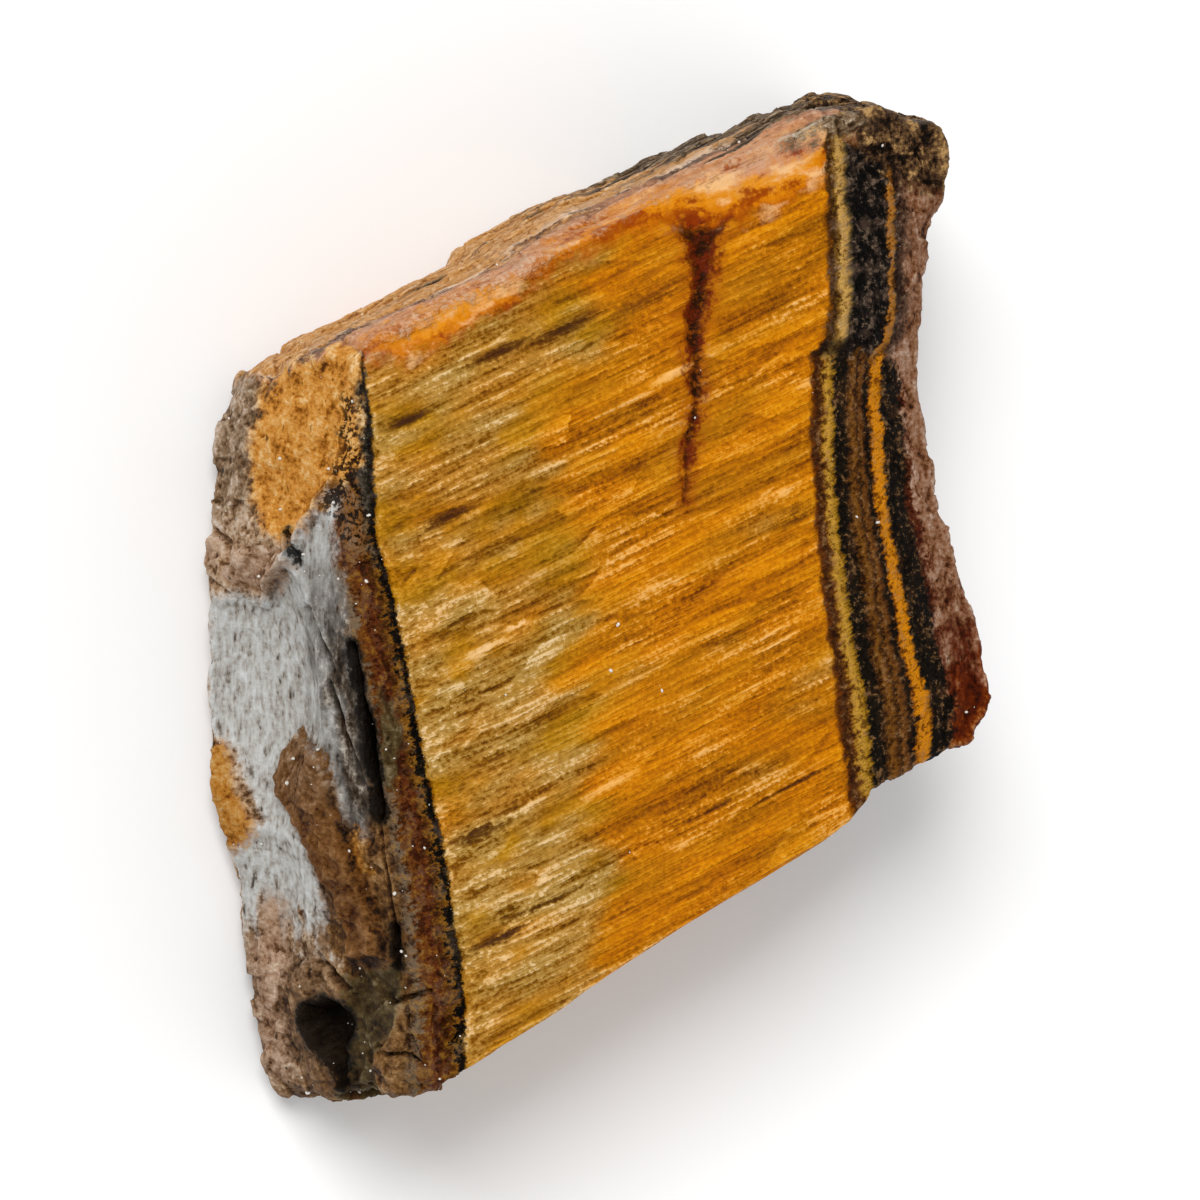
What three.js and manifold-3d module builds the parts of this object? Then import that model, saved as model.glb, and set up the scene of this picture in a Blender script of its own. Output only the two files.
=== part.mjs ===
// A rough piece of tiger's eye: one broken block of a quartz vein, lying on its back.
// The gold fibre band runs across the block from the left wall of the vein to the right wall,
// and a skin of ironstone is grown onto each wall. It is a single solid.
//
// Millimetres, +Z up. The origin is the centre of the underside, which rests on z = 0.
// The broad gold face looks up, +Y is the long way of the block, and the left wall is at -X.

import * as THREE from "three";
import { ParametricGeometry } from "three/addons/geometries/ParametricGeometry.js";
import { ConvexGeometry } from "three/addons/geometries/ConvexGeometry.js";
import { ImprovedNoise } from "three/addons/math/ImprovedNoise.js";
import { mergeVertices } from "three/addons/utils/BufferGeometryUtils.js";
import Module from "manifold-3d";

const wasm = await Module();
wasm.setup();

// ---- driving dimensions -----------------------------------------------------------------

const FACE_Z = 15.6; // height of the gold face at its middle
const FOOT_Z = 1.5; // height at which the flank turns under into the rounded foot
const FACE_ROUNDING = 5; // power of the fall from the flat middle of the face to its rim
const STEPS_PER_POINT = 3; // mesh columns between two points of the outline

const RIM_TENSION = 0.25; // how tightly the outline's curves keep to its points
const EGG_MESH = [36, 24]; // mesh steps round and along a shell-shaped hollow

const FLANK_RINGS = [0.07, 0.2, 0.35, 0.5, 0.65, 0.8, 0.93]; // shares of the way up the flank
const FACE_RINGS = [1, 0.97, 0.92, 0.84, 0.73, 0.6, 0.46, 0.31, 0.16, 0]; // shares of the radius
const FOOT_RINGS = [0, 0.3, 0.58, 0.8, 0.93, 1];

const FLANK_LUMPS = { size: 5.2, height: 0.55 }; // wavelength and depth of the uneven flanks
const FLANK_CHIPS = { size: 2.1, height: 0.22 };
const FACE_SWELL = { size: 9.0, height: 0.16 };
const FOOT_HOLLOWS = { size: 6.0, height: 0.7 }; // hollows of the underside, above the resting plane
const FOOT_LAND = 0.12; // unevenness under which the underside stays on the resting plane
const NOISE_SHIFT = [7.3, 2.9, 5.1]; // where in the noise the stone lies

// The outline, anticlockwise from the corner at the upper left. Each row is one place on the rim:
// the upper rim [x, y, z], the foot below it [x, y], and how far the flank bellies out between.
const OUTLINE = [
  // left flank, down the outer skin of the left wall
  [[-13.0, 10.0, 14.3], [-14.5, 9.7], 0.2],
  [[-12.9, 7.2, 14.8], [-15.5, 7.4], 0.2],
  [[-12.9, 4.2, 14.6], [-15.6, 4.2], 0.2],
  [[-13.2, 1.2, 13.8], [-15.8, 1.0], 0.3],
  [[-13.1, -2.0, 13.6], [-15.9, -2.2], 0.3],
  [[-12.6, -5.2, 13.6], [-15.9, -5.4], 0.3],
  [[-12.0, -8.6, 13.6], [-15.7, -8.6], 0.2],
  [[-11.4, -12.0, 13.5], [-14.6, -11.8], 0.1],
  [[-11.1, -15.4, 13.4], [-14.2, -15.2], 0.1],
  [[-10.9, -18.2, 13.3], [-13.7, -18.8], 0.1],
  [[-10.6, -20.3, 12.9], [-12.9, -21.4], 0.0],
  // lower left corner, then the lower flank, broken along the fibres
  [[-9.6, -20.2, 14.3], [-11.2, -22.1], 0.0],
  [[-8.3, -19.4, 15.0], [-8.6, -21.0], 0.0],
  [[-6.7, -18.4, 15.2], [-6.4, -19.7], 0.1],
  [[-4.3, -17.0, 15.3], [-3.8, -18.4], 0.2],
  [[-2.1, -15.5, 15.4], [-1.2, -16.8], 0.2],
  [[0.6, -14.0, 15.4], [1.4, -15.2], 0.2],
  [[3.5, -12.4, 15.5], [4.3, -13.6], 0.2],
  [[6.2, -11.0, 15.4], [7.2, -12.0], 0.2],
  [[8.6, -9.4, 15.2], [9.8, -10.4], 0.2],
  [[9.6, -8.2, 15.1], [11.4, -9.3], 0.2],
  [[11.7, -7.2, 14.9], [13.2, -8.2], 0.2],
  [[14.2, -6.1, 14.3], [14.8, -6.9], 0.2],
  // right flank, the outer skin of the right wall, pinched in above its middle
  [[15.2, -4.6, 14.0], [15.7, -4.8], 0.2],
  [[15.1, -2.0, 13.9], [15.8, -1.6], 0.2],
  [[14.3, 0.6, 13.9], [15.5, 0.8], 0.1],
  [[13.3, 3.4, 13.9], [14.9, 3.6], 0.1],
  [[12.6, 6.6, 13.9], [14.1, 6.6], 0.1],
  [[12.3, 9.8, 13.9], [13.6, 9.8], 0.1],
  [[12.4, 12.8, 13.9], [13.8, 13.0], 0.2],
  [[13.0, 16.0, 14.0], [14.6, 16.4], 0.3],
  [[13.4, 18.6, 14.0], [15.0, 19.0], 0.4],
  // the blunt corner at the upper right, then the upper flank
  [[12.6, 20.2, 14.0], [14.2, 21.4], 0.4],
  [[10.4, 20.9, 14.2], [12.4, 22.7], 0.3],
  [[8.2, 20.2, 14.8], [9.6, 22.3], 0.2],
  [[5.4, 19.3, 15.0], [7.2, 21.2], 0.0],
  [[2.6, 18.0, 15.0], [4.4, 19.6], 0.0],
  [[-0.1, 16.7, 15.0], [1.4, 18.1], 0.0],
  [[-2.9, 15.3, 15.0], [-1.6, 17.0], 0.0],
  [[-4.7, 14.4, 15.0], [-4.4, 15.5], 0.0],
  [[-5.6, 14.0, 15.0], [-5.1, 14.7], 0.0],
  [[-8.4, 12.5, 14.9], [-6.8, 13.9], 0.0],
  [[-10.8, 11.4, 14.7], [-10.2, 12.1], 0.0],
];

// Shell-shaped hollows, as flint and quartz break with: each is the part of an egg, given by its
// centre, its three radii and its turn about each axis, that reaches into the block.
const HOLLOWS = [
  // the wide scoop out of the left wall, and the smaller one that runs on below it
  { centre: [-17.9, -4.6, 7.6], radii: [5.0, 9.0, 6.6], turn: [0.1, -0.12, 0.03] },
  { centre: [-16.9, -13.9, 6.2], radii: [3.9, 6.6, 5.0], turn: [0.16, -0.1, 0.06] },
  // a long chip off the foot of the right wall
  { centre: [21.6, 9.0, 1.0], radii: [8.8, 10.5, 8.2], turn: [0.1, 0, 0.05] },
  // chips off the upper flank
  { centre: [6.0, 27.2, 3.4], radii: [8.6, 7.6, 7.2], turn: [0, 0, 0.44] },
  { centre: [-10.5, 18.2, 1.0], radii: [6.6, 6.8, 6.2], turn: [0, 0, 0.44] },
  // chips off the lower flank
  { centre: [-2.0, -23.6, 3.6], radii: [8.4, 7.2, 7.6], turn: [0, 0, 0.5] },
  { centre: [10.4, -16.2, 1.4], radii: [7.2, 6.8, 6.4], turn: [0, 0, 0.44] },
];

// Small blocks that have dropped out of the lower left corner, each by its corner points.
const LOST_BLOCKS = [
  [
    [-12.4, -23.6, 14.6], [-12.4, -17.4, 14.6], [-16.4, -17.0, 14.6], [-16.4, -23.6, 14.6],
    [-12.9, -23.6, 9.4], [-12.9, -17.9, 9.4], [-16.4, -17.6, 8.6], [-16.4, -23.6, 8.6],
  ],
  [
    [-9.4, -23.6, 15.8], [-9.3, -19.6, 15.8], [-12.2, -19.0, 15.8], [-12.2, -23.6, 15.8],
    [-9.6, -23.6, 12.9], [-9.5, -19.9, 12.9], [-12.6, -19.3, 12.4], [-12.6, -23.6, 12.4],
  ],
];

const STONE_COLOUR = 0xb57a1e;

// ---- outline ----------------------------------------------------------------------------

// A closed curve through one point of every outline row.
function rimCurve(pointOf) {
  const points = OUTLINE.map((row) => pointOf(row));
  return new THREE.CatmullRomCurve3(points, true, "catmullrom", RIM_TENSION);
}

const upperRim = rimCurve(([upper]) => new THREE.Vector3(...upper));
const footRim = rimCurve(([, foot]) => new THREE.Vector3(foot[0], foot[1], FOOT_Z));
const belly = rimCurve(([, , bulge]) => new THREE.Vector3(bulge, 0, 0));

// ---- surface ----------------------------------------------------------------------------

const noise = new ImprovedNoise();

// Smooth noise of about -1 to 1 whose features are size millimetres across.
function unevenness(point, { size, height }) {
  const [shiftX, shiftY, shiftZ] = NOISE_SHIFT;
  const { x, y, z } = point;
  return height * noise.noise(x / size + shiftX, y / size + shiftY, z / size + shiftZ);
}

// The point at share of the way from the middle of the underside to its rim. The middle, out to
// the second ring, is flat on the resting plane.
function footPoint(u, share, target) {
  const rim = footRim.getPoint(u % 1);
  target.set(rim.x * share, rim.y * share, 0);
  const hollow = Math.max(0, unevenness(target, FOOT_HOLLOWS) - FOOT_LAND);
  const turnUp = Math.max(0, share - FOOT_RINGS.at(-3)) / (1 - FOOT_RINGS.at(-3));
  const uneven = share > FOOT_RINGS[1] ? hollow : 0;
  target.z = uneven + FOOT_Z * turnUp ** 2;
}

// The point at share of the way up the flank, from the foot to the upper rim.
function flankPoint(u, share, target) {
  const upper = upperRim.getPoint(u % 1);
  const foot = footRim.getPoint(u % 1);
  target.lerpVectors(foot, upper, share);
  const outward = new THREE.Vector3(target.x, target.y, 0).normalize();
  const middle = Math.sin(Math.PI * share);
  const lumps = unevenness(target, FLANK_LUMPS) + unevenness(target, FLANK_CHIPS);
  target.addScaledVector(outward, middle * (belly.getPoint(u % 1).x + lumps));
}

// The point at share of the way from the middle of the gold face to its rim.
function facePoint(u, share, target) {
  const upper = upperRim.getPoint(u % 1);
  const height = FACE_Z + (upper.z - FACE_Z) * share ** FACE_ROUNDING;
  target.set(upper.x * share, upper.y * share, height);
  target.z += (1 - share) * unevenness(target, FACE_SWELL);
}

// The rings of the skin in order, from the middle of the underside to the middle of the gold face.
const RINGS = [
  ...FOOT_RINGS.map((share) => (u, target) => footPoint(u, share, target)),
  ...FLANK_RINGS.map((share) => (u, target) => flankPoint(u, share, target)),
  ...FACE_RINGS.map((share) => (u, target) => facePoint(u, share, target)),
];

function stoneSkin() {
  const stacks = RINGS.length - 1;
  const place = (u, v, target) => RINGS[Math.round(v * stacks)](u, target);
  return new ParametricGeometry(place, OUTLINE.length * STEPS_PER_POINT, stacks);
}

function egg({ centre, radii, turn }) {
  const geometry = new THREE.SphereGeometry(1, ...EGG_MESH);
  geometry.scale(...radii);
  geometry.applyMatrix4(new THREE.Matrix4().makeRotationFromEuler(new THREE.Euler(...turn)));
  return geometry.translate(...centre);
}

function block(corners) {
  return new ConvexGeometry(corners.map((corner) => new THREE.Vector3(...corner)));
}

// ---- joining and cutting ----------------------------------------------------------------

function solidOf(geometry) {
  const bare = geometry.clone().deleteAttribute("normal").deleteAttribute("uv");
  const merged = mergeVertices(bare, 1e-3);
  return new wasm.Manifold(
    new wasm.Mesh({
      numProp: 3,
      vertProperties: merged.attributes.position.array,
      triVerts: new Uint32Array(merged.index.array),
    }),
  );
}

function geometryOf(solid) {
  const { vertProperties, triVerts } = solid.getMesh();
  const geometry = new THREE.BufferGeometry();
  geometry.setAttribute("position", new THREE.BufferAttribute(vertProperties, 3));
  geometry.setIndex(new THREE.BufferAttribute(triVerts, 1));
  geometry.computeVertexNormals();
  return geometry;
}

// Moves the block sideways so that the middle of its bounds is over the origin.
function centred(geometry) {
  geometry.computeBoundingBox();
  const { min, max } = geometry.boundingBox;
  return geometry.translate(-(min.x + max.x) / 2, -(min.y + max.y) / 2, 0);
}

// ---- the part ---------------------------------------------------------------------------

function roughStone() {
  let stone = solidOf(stoneSkin());
  for (const hollow of HOLLOWS) stone = stone.subtract(solidOf(egg(hollow)));
  for (const corners of LOST_BLOCKS) stone = stone.subtract(solidOf(block(corners)));
  const material = new THREE.MeshStandardMaterial({
    color: STONE_COLOUR,
    roughness: 0.5,
    metalness: 0,
    flatShading: true,
  });
  const mesh = new THREE.Mesh(centred(geometryOf(stone)), material);
  mesh.name = "rough_stone";
  return mesh;
}

const part = new THREE.Group();
part.add(roughStone());

export default part;
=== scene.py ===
"""Looks of a rough piece of tiger's eye.

The stone is one broken block of a quartz vein, and it lies on its back. Gold fibres cross the
block from the left wall of the vein to the right one, and a skin of ironstone is grown onto each
wall. Its surface is worked from a copy of the CAD block.

Lengths in this file are millimetres on the layout sheet, unless a name or a comment says metres.
The sheet is the plan of the block seen from above: x runs across the vein and y along its walls.
"""

import logging
import math
import random
from dataclasses import dataclass, field
from enum import Enum
from typing import Callable, Sequence, Union

import bmesh
import bpy
import numpy as np
from mathutils import Matrix, Vector, kdtree, noise


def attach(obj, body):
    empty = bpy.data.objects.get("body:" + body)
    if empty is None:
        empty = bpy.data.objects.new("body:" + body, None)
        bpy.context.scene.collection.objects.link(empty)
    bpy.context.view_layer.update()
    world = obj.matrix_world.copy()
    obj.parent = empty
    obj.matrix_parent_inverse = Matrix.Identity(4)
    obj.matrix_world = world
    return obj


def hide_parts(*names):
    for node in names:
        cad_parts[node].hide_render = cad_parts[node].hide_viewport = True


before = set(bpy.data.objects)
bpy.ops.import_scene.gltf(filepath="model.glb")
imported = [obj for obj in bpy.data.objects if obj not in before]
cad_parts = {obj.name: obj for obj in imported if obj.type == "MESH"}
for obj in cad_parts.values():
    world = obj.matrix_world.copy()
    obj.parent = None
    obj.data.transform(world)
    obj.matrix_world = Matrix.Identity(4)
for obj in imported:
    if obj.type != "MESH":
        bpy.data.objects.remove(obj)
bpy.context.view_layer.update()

MM = 0.001
NODE = "rough_stone"

SHEET_ZERO = np.array([0.05, 0.31, 0.0])  # the CAD frame's origin on the layout sheet
FIBRE_TURN = math.radians(24.6)  # the fibres' turn from +x towards +y
SLANT = math.radians(20.0)  # the slant sheet's tilt, from level, towards the left flank
SLANT_HEIGHT = 8.0  # height at which the slant sheet's first coordinate is 0 over x = 0

Point = tuple[float, float]
Line = tuple[Point, ...]
Feed = Union[bpy.types.NodeSocket, float, tuple]

log = logging.getLogger("rough_stone")


class Field(Enum):
    """The measures that the stone's points carry for its finish, in millimetres."""

    LEFT_WALL = "left_wall"  # how far to the right of the left wall of the vein
    RIGHT_WALL = "right_wall"  # how far to the right of the right wall of the vein
    ROCK = "rock"  # how far beyond the line where the right bands give way to massive rock
    BELT = "belt"  # how far beyond the line where the waxy belt begins
    CRUST = "crust"  # how far beyond the line where the weathered crust begins
    SHEEN = "sheen"  # how far to the right of the line where the silk turns over, from the dull olive side of the painted sheen to its bright orange side
    STAIN = "stain"  # how far inside the red stain
    DARK = "dark"  # share of dark smudge
    PALE = "pale"  # share of pale splinter
    OCHRE = "ochre"  # how far inside an ochre rind
    SHELL = "shell"  # how far inside the grey shell-shaped break
    LENS = "lens"  # how far inside a brown plate
    MOSS = "moss"  # how far inside the grey-green floor of the corner step
    HOLLOW = "hollow"  # how far inside one of the holes or dark gaps, which get painted shade
    GLOOM = "gloom"  # share of painted shade beside the gap, where the shell curves away from the light, mixed with darker rock
    BLOCK = "block"  # tone of the fibre block, from -1 to 1
    FROST = "frost"  # share of pale broken fibres
    HUE = "hue"  # how far towards orange the fibres' own colour leans, from -1 to 1
    WAX = "wax"  # tone of the waxy belt, from -1 to 1, paler towards the right as a painted highlight
    LUMP = "lump"  # how far inside a pale pink lump
    SPECK = "speck"  # how far inside the black specks beside the left wall
    GREY = "grey"  # share of grey weathering on the crust
    AMBER = "amber"  # share of orange in the crust
    # the cavity also paints shade into nooks and a highlight onto edges, in the toned group
    CAVITY = "cavity"  # how hollow the place is, from -1 on an edge to 1 in a nook


# ---- layout sheet -------------------------------------------------------------------------------

# the walls of the vein, and how much wider or narrower than usual the right wall's bands are, as x
LEFT_WALL: Line = (
    (-8.4, -22.5), (-8.4, -16.6), (-8.8, -13.7), (-9.3, -10.3), (-10.2, -6.2), (-10.8, -3.3),
    (-11.4, 0.0), (-12.1, 2.3), (-12.3, 4.1), (-12.5, 7.0), (-12.6, 10.3), (-12.8, 14.0),
)
RIGHT_WALL: Line = (
    (9.7, -11.0), (9.4, -8.9), (8.7, -4.3), (8.05, 0.0), (7.55, 4.2), (7.35, 8.5), (7.4, 10.4),
    (8.1, 11.2), (8.3, 12.8), (8.2, 19.1), (7.9, 23.5),
)
RIGHT_SPREAD: Line = (
    (1.1, -8.0), (1.16, -4.3), (1.0, -2.0), (1.0, 0.5), (0.9, 4.0), (0.9, 10.0), (1.0, 11.0),
)

# where the right bands give way to massive rock, as the right wall's measure, at each y
ROCK_LINE: Line = ((4.0, -9.0), (4.25, -6.8), (4.8, -0.5), (5.05, 4.0), (4.6, 9.5), (3.3, 11.2))

# how far the right flank stands out of the CAD block, as x, at each y
RIGHT_SWELL: Line = (
    (0.0, -12.0), (0.3, -7.0), (0.6, -4.3), (0.35, -2.2), (0.2, 0.0), (0.35, 2.5), (0.3, 4.3),
    (0.25, 6.5), (0.1, 9.0), (0.2, 13.0), (0.0, 16.0), (0.45, 18.5), (0.7, 19.6), (0.4, 21.0),
)

# the line where the silk turns over between the dull and the bright side of the gold's painted sheen, and
# the lines where the waxy belt begins and where the crust begins
SHEEN_LINE: Line = (
    (-2.2, -16.0), (-2.7, -9.6), (-4.5, 2.5), (-5.6, 7.0), (-4.0, 10.5), (-3.0, 13.5),
)
BELT_LINE: Line = (
    (-14.0, 9.3), (-12.7, 9.6), (-10.1, 10.2), (-8.2, 11.2), (-6.8, 11.8), (-5.7, 13.1),
    (-4.0, 14.0), (-1.6, 15.1), (0.5, 15.8), (3.5, 15.9), (5.9, 16.8), (7.4, 17.8), (9.0, 18.6),
    (16.0, 20.5),
)
CRUST_LINE: Line = (
    (-14.0, 9.8), (-12.8, 10.4), (-9.9, 11.6), (-7.8, 12.6), (-6.0, 13.2), (-4.3, 14.6),
    (-2.5, 15.7), (-0.7, 16.6), (2.0, 17.7), (4.7, 18.9), (6.6, 19.4), (8.8, 19.8),
    (9.6, 19.0), (11.2, 18.0), (16.0, 16.6),
)

# the outline of the red stain
STAIN: Line = (
    (0.2, 16.2), (3.3, 16.2), (2.45, 14.9), (2.15, 12.9), (1.85, 11.1), (1.9, 9.5), (1.65, 7.8),
    (1.3, 6.3), (1.25, 4.2), (1.0, 4.2), (0.95, 6.3), (1.25, 8.2), (1.2, 10.1), (0.95, 11.8),
    (1.4, 13.5), (1.2, 14.9),
)


@dataclass(frozen=True)
class Patch:
    """A patch of the left flank, drawn on the slant sheet, that stands out or has broken away.

    Attributes:
        outline: Its outline on the slant sheet.
        kind: The field that it counts towards, or None for bare ironstone.
        lift: How far it stands out of the flank, less than 0 for a hollow.
        shoulder: How far in from the outline the whole lift is reached.
    """

    outline: Line
    kind: Union[Field, None]
    lift: float
    shoulder: float


@dataclass(frozen=True)
class Groove:
    """A groove in the left flank, or a ridge where its depth is less than 0.

    Attributes:
        line: Its course on the slant sheet.
        half_width: Half its width.
        depth: Its depth along its middle.
    """

    line: Line
    half_width: float
    depth: float


@dataclass(frozen=True)
class Smudge:
    """A dark or a pale streak that lies along the fibres of the gold face.

    Attributes:
        x: Its middle's x on the layout sheet.
        y: Its middle's y.
        length: Half its length, along the fibres.
        width: Half its width, across them.
        weight: How strong it is at its middle, from 0 to 1.
    """

    x: float
    y: float
    length: float
    width: float
    weight: float


PATCHES: tuple[Patch, ...] = (
    # the ochre rind at the upper corner, and the small one low on the flank
    Patch(
        ((-14.5, 8.9), (-13.4, 9.8), (-11.6, 9.9), (-10.6, 10.8), (-10.0, 10.8), (-10.0, 5.7),
         (-11.1, 4.8), (-12.3, 3.4), (-13.1, 2.5), (-14.4, 3.0), (-14.9, 4.6), (-14.7, 6.8)),
        Field.OCHRE, -0.15, 0.8,
    ),
    Patch(
        ((-17.2, -6.3), (-16.5, -6.2), (-16.1, -7.6), (-15.5, -9.0), (-15.1, -9.8),
         (-15.3, -10.3), (-15.9, -10.8), (-17.2, -10.7)),
        Field.OCHRE, 0.0, 0.3,
    ),
    # the grey shell-shaped break
    Patch(
        ((-11.0, 4.8), (-12.5, 3.0), (-13.5, 1.6), (-14.4, 0.0), (-15.6, 0.4), (-17.2, 0.0),
         (-17.2, -5.9), (-15.8, -6.5), (-15.2, -8.2), (-14.7, -9.6), (-16.4, -11.0),
         (-15.6, -16.0), (-11.6, -16.0), (-11.9, -12.0), (-12.6, -10.4), (-13.2, -9.2),
         (-13.9, -7.8), (-12.9, -5.8), (-11.3, -7.1), (-10.9, -8.6), (-10.5, -10.0), (-9.8, -9.9),
         (-9.4, -8.3), (-9.4, -6.6), (-9.8, -4.1), (-10.3, -1.7), (-10.8, 0.8), (-11.1, 2.5)),
        Field.SHELL, -0.15, 0.6,
    ),
    # the brown plate that stands out beside it
    Patch(
        ((-12.9, -5.6), (-13.6, -6.7), (-13.9, -7.7), (-13.8, -8.4), (-13.2, -9.2),
         (-12.4, -10.1), (-12.0, -11.1), (-11.5, -12.0), (-10.8, -13.5), (-10.4, -15.1),
         (-8.8, -14.9), (-9.2, -13.4), (-9.8, -11.6), (-10.5, -10.2), (-11.0, -8.7),
         (-11.2, -7.6), (-11.4, -6.5), (-12.3, -6.0)),
        Field.LENS, 0.45, 0.22,
    ),
    # the hole and the steps at the lower corner
    Patch(
        ((-12.8, -17.3), (-11.9, -16.8), (-11.0, -17.0), (-10.6, -17.8), (-10.8, -19.2),
         (-10.7, -20.9), (-11.3, -20.9), (-11.6, -19.9), (-12.5, -19.3), (-13.0, -18.2)),
        Field.HOLLOW, -1.7, 0.5,
    ),
    Patch(
        ((-10.2, -15.4), (-8.5, -15.2), (-8.0, -16.2), (-8.4, -16.7), (-8.7, -18.2), (-9.3, -18.8),
         (-9.3, -21.4), (-11.0, -21.4), (-11.2, -18.9), (-11.0, -17.2), (-10.8, -16.2)),
        Field.MOSS, -0.3, 0.5,
    ),
    Patch(
        ((-8.4, -16.6), (-6.9, -16.2), (-6.6, -20.6), (-9.3, -20.8), (-9.3, -18.8), (-8.7, -18.2)),
        None, 0.35, 0.15,
    ),
    Patch(
        ((-12.2, -14.9), (-11.2, -15.4), (-10.4, -16.4), (-10.9, -16.6), (-11.7, -16.1),
         (-12.2, -15.5)),
        Field.SHELL, -0.5, 0.3,
    ),
    # the lumps between the rind and the shell-shaped break
    Patch(
        ((-15.7, 2.5), (-13.6, 2.1), (-13.1, 1.4), (-13.9, 0.3), (-15.9, 0.5), (-16.6, 1.2),
         (-16.0, 2.3)),
        Field.LUMP, 0.2, 0.8,
    ),
    Patch(((-17.4, 3.2), (-16.3, 2.6), (-16.6, 1.4), (-17.6, 1.2)), Field.LUMP, 0.15, 0.4),
    Patch(
        ((-14.6, -12.6), (-13.6, -13.2), (-13.4, -15.6), (-13.9, -17.6), (-13.2, -20.6),
         (-14.8, -21.0), (-15.4, -16.0)),
        Field.LUMP, 0.1, 0.5,
    ),
    # a thin ochre vein and a grey plate between the brown plate and the wall
    Patch(((-10.4, -9.6), (-10.1, -9.7), (-9.8, -11.3), (-10.0, -11.4)), Field.OCHRE, 0.0, 0.3),
    Patch(
        ((-9.3, -3.4), (-8.6, -4.6), (-8.3, -5.8), (-8.4, -7.9), (-8.9, -7.9), (-9.1, -5.8)),
        Field.MOSS, 0.2, 0.2,
    ),
    # black specks on the upper part of the wall
    Patch(
        ((-10.8, 8.6), (-9.9, 8.8), (-9.5, 1.6), (-10.5, 1.4), (-11.5, 4.2), (-11.0, 6.2)),
        Field.SPECK, 0.0, 0.3,
    ),
)

GROOVES: tuple[Groove, ...] = (
    Groove(((-10.3, -1.9), (-10.0, -4.0), (-9.7, -5.1), (-9.5, -6.4), (-9.3, -7.9),
            (-9.2, -8.9)), 0.36, 1.1),
    Groove(((-9.2, -8.9), (-8.9, -11.2), (-8.5, -13.6)), 0.14, 0.3),
    Groove(((-9.4, -18.7), (-8.7, -18.9), (-8.1, -18.8), (-7.3, -19.2)), 0.16, 0.4),
    Groove(((-8.9, -16.8), (-8.3, -16.6), (-7.0, -16.2)), 0.16, 0.4),
    Groove(((-7.9, -16.8), (-7.9, -18.6)), 0.1, 0.25),
    Groove(((-8.5, -13.6), (-8.4, -14.4), (-8.3, -15.1)), 0.24, 0.7),
    Groove(((-16.9, 3.1), (-16.2, 2.5), (-16.1, 1.6)), 0.3, 0.4),
    Groove(((-12.5, -0.4), (-12.0, -1.6), (-11.4, -3.0)), 0.3, 0.45),
    Groove(((-11.5, -3.5), (-10.9, -5.2), (-10.1, -7.6)), 0.26, 0.4),
    Groove(((-13.3, 2.9), (-12.9, 2.3), (-12.8, 1.6)), 0.12, 0.55),
    Groove(((-10.9, 5.0), (-11.8, 4.0), (-12.5, 3.0), (-12.9, 2.2), (-13.5, 1.6), (-14.1, 0.9),
            (-14.4, -0.2)), 0.3, -0.3),
)

# the middle of the painted shade and darker rock beside the gap, on the slant sheet
SHADE_AND_DARK_ROCK_LINE: Line = ((-11.4, 3.6), (-11.0, 0.6), (-10.4, -3.0), (-9.8, -7.4), (-10.2, -9.5))

DARK_SMUDGES: tuple[Smudge, ...] = (
    Smudge(-7.0, 10.3, 2.6, 0.45, 0.9),
    Smudge(-4.3, 11.3, 3.0, 0.5, 0.8),
    Smudge(-11.0, 7.4, 1.6, 0.4, 0.9),
    Smudge(-9.4, 3.4, 2.0, 0.4, 0.7),
    Smudge(-7.9, -9.6, 2.4, 0.45, 0.8),
    Smudge(-7.0, -14.0, 2.6, 0.4, 1.0),
    Smudge(-5.2, -12.6, 3.0, 0.3, 0.6),
    Smudge(-0.9, 12.4, 3.0, 0.4, 0.5),
    Smudge(6.2, -7.7, 3.2, 0.16, 1.0),
    Smudge(2.4, -8.7, 3.0, 0.3, 0.6),
    Smudge(6.0, 3.6, 1.6, 0.6, 0.6),
)

PALE_SMUDGES: tuple[Smudge, ...] = (
    Smudge(-5.3, -11.6, 0.7, 0.22, 1.0),
    Smudge(-6.3, -1.0, 1.5, 0.25, 1.0),
    Smudge(-7.7, -1.9, 1.6, 0.25, 0.8),
    Smudge(-2.2, 6.8, 4.5, 0.22, 0.7),
    Smudge(0.6, 9.6, 2.0, 0.3, 0.8),
    Smudge(-1.5, 8.2, 4.0, 0.22, 0.7),
    Smudge(5.6, 4.6, 1.0, 0.3, 0.7),
    Smudge(-2.4, -7.7, 2.4, 0.3, 0.7),
    Smudge(5.6, -1.6, 2.4, 0.25, 0.6),
)

FLANK_FIELDS = (
    Field.OCHRE, Field.SHELL, Field.LENS, Field.MOSS, Field.LUMP, Field.SPECK, Field.HOLLOW,
)
FAR_OUTSIDE = -9.0  # what a flank field says away from all its patches


# ---- surface arithmetic -------------------------------------------------------------------------


def eased(value: np.ndarray, low: float, high: float) -> np.ndarray:
    """Rises smoothly from 0 at low to 1 at high.

    Args:
        value: The numbers to look at.
        low: Where the rise starts.
        high: Where it ends.

    Returns:
        A share from 0 to 1 for each number.
    """
    share = np.clip((value - low) / (high - low), 0.0, 1.0)
    return share * share * (3.0 - 2.0 * share)


def swell(places: np.ndarray, size: Union[float, Sequence[float]], seed: float) -> np.ndarray:
    """Smooth noise of about -1 to 1 over a surface.

    Args:
        places: Points, one row each.
        size: The size of the noise's features, as one number or one for each axis.
        seed: Which noise to take.

    Returns:
        One number for each point.
    """
    spots = (places / np.asarray(size) + seed).tolist()
    return np.fromiter(map(noise.noise, spots), float, len(spots))


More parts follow.
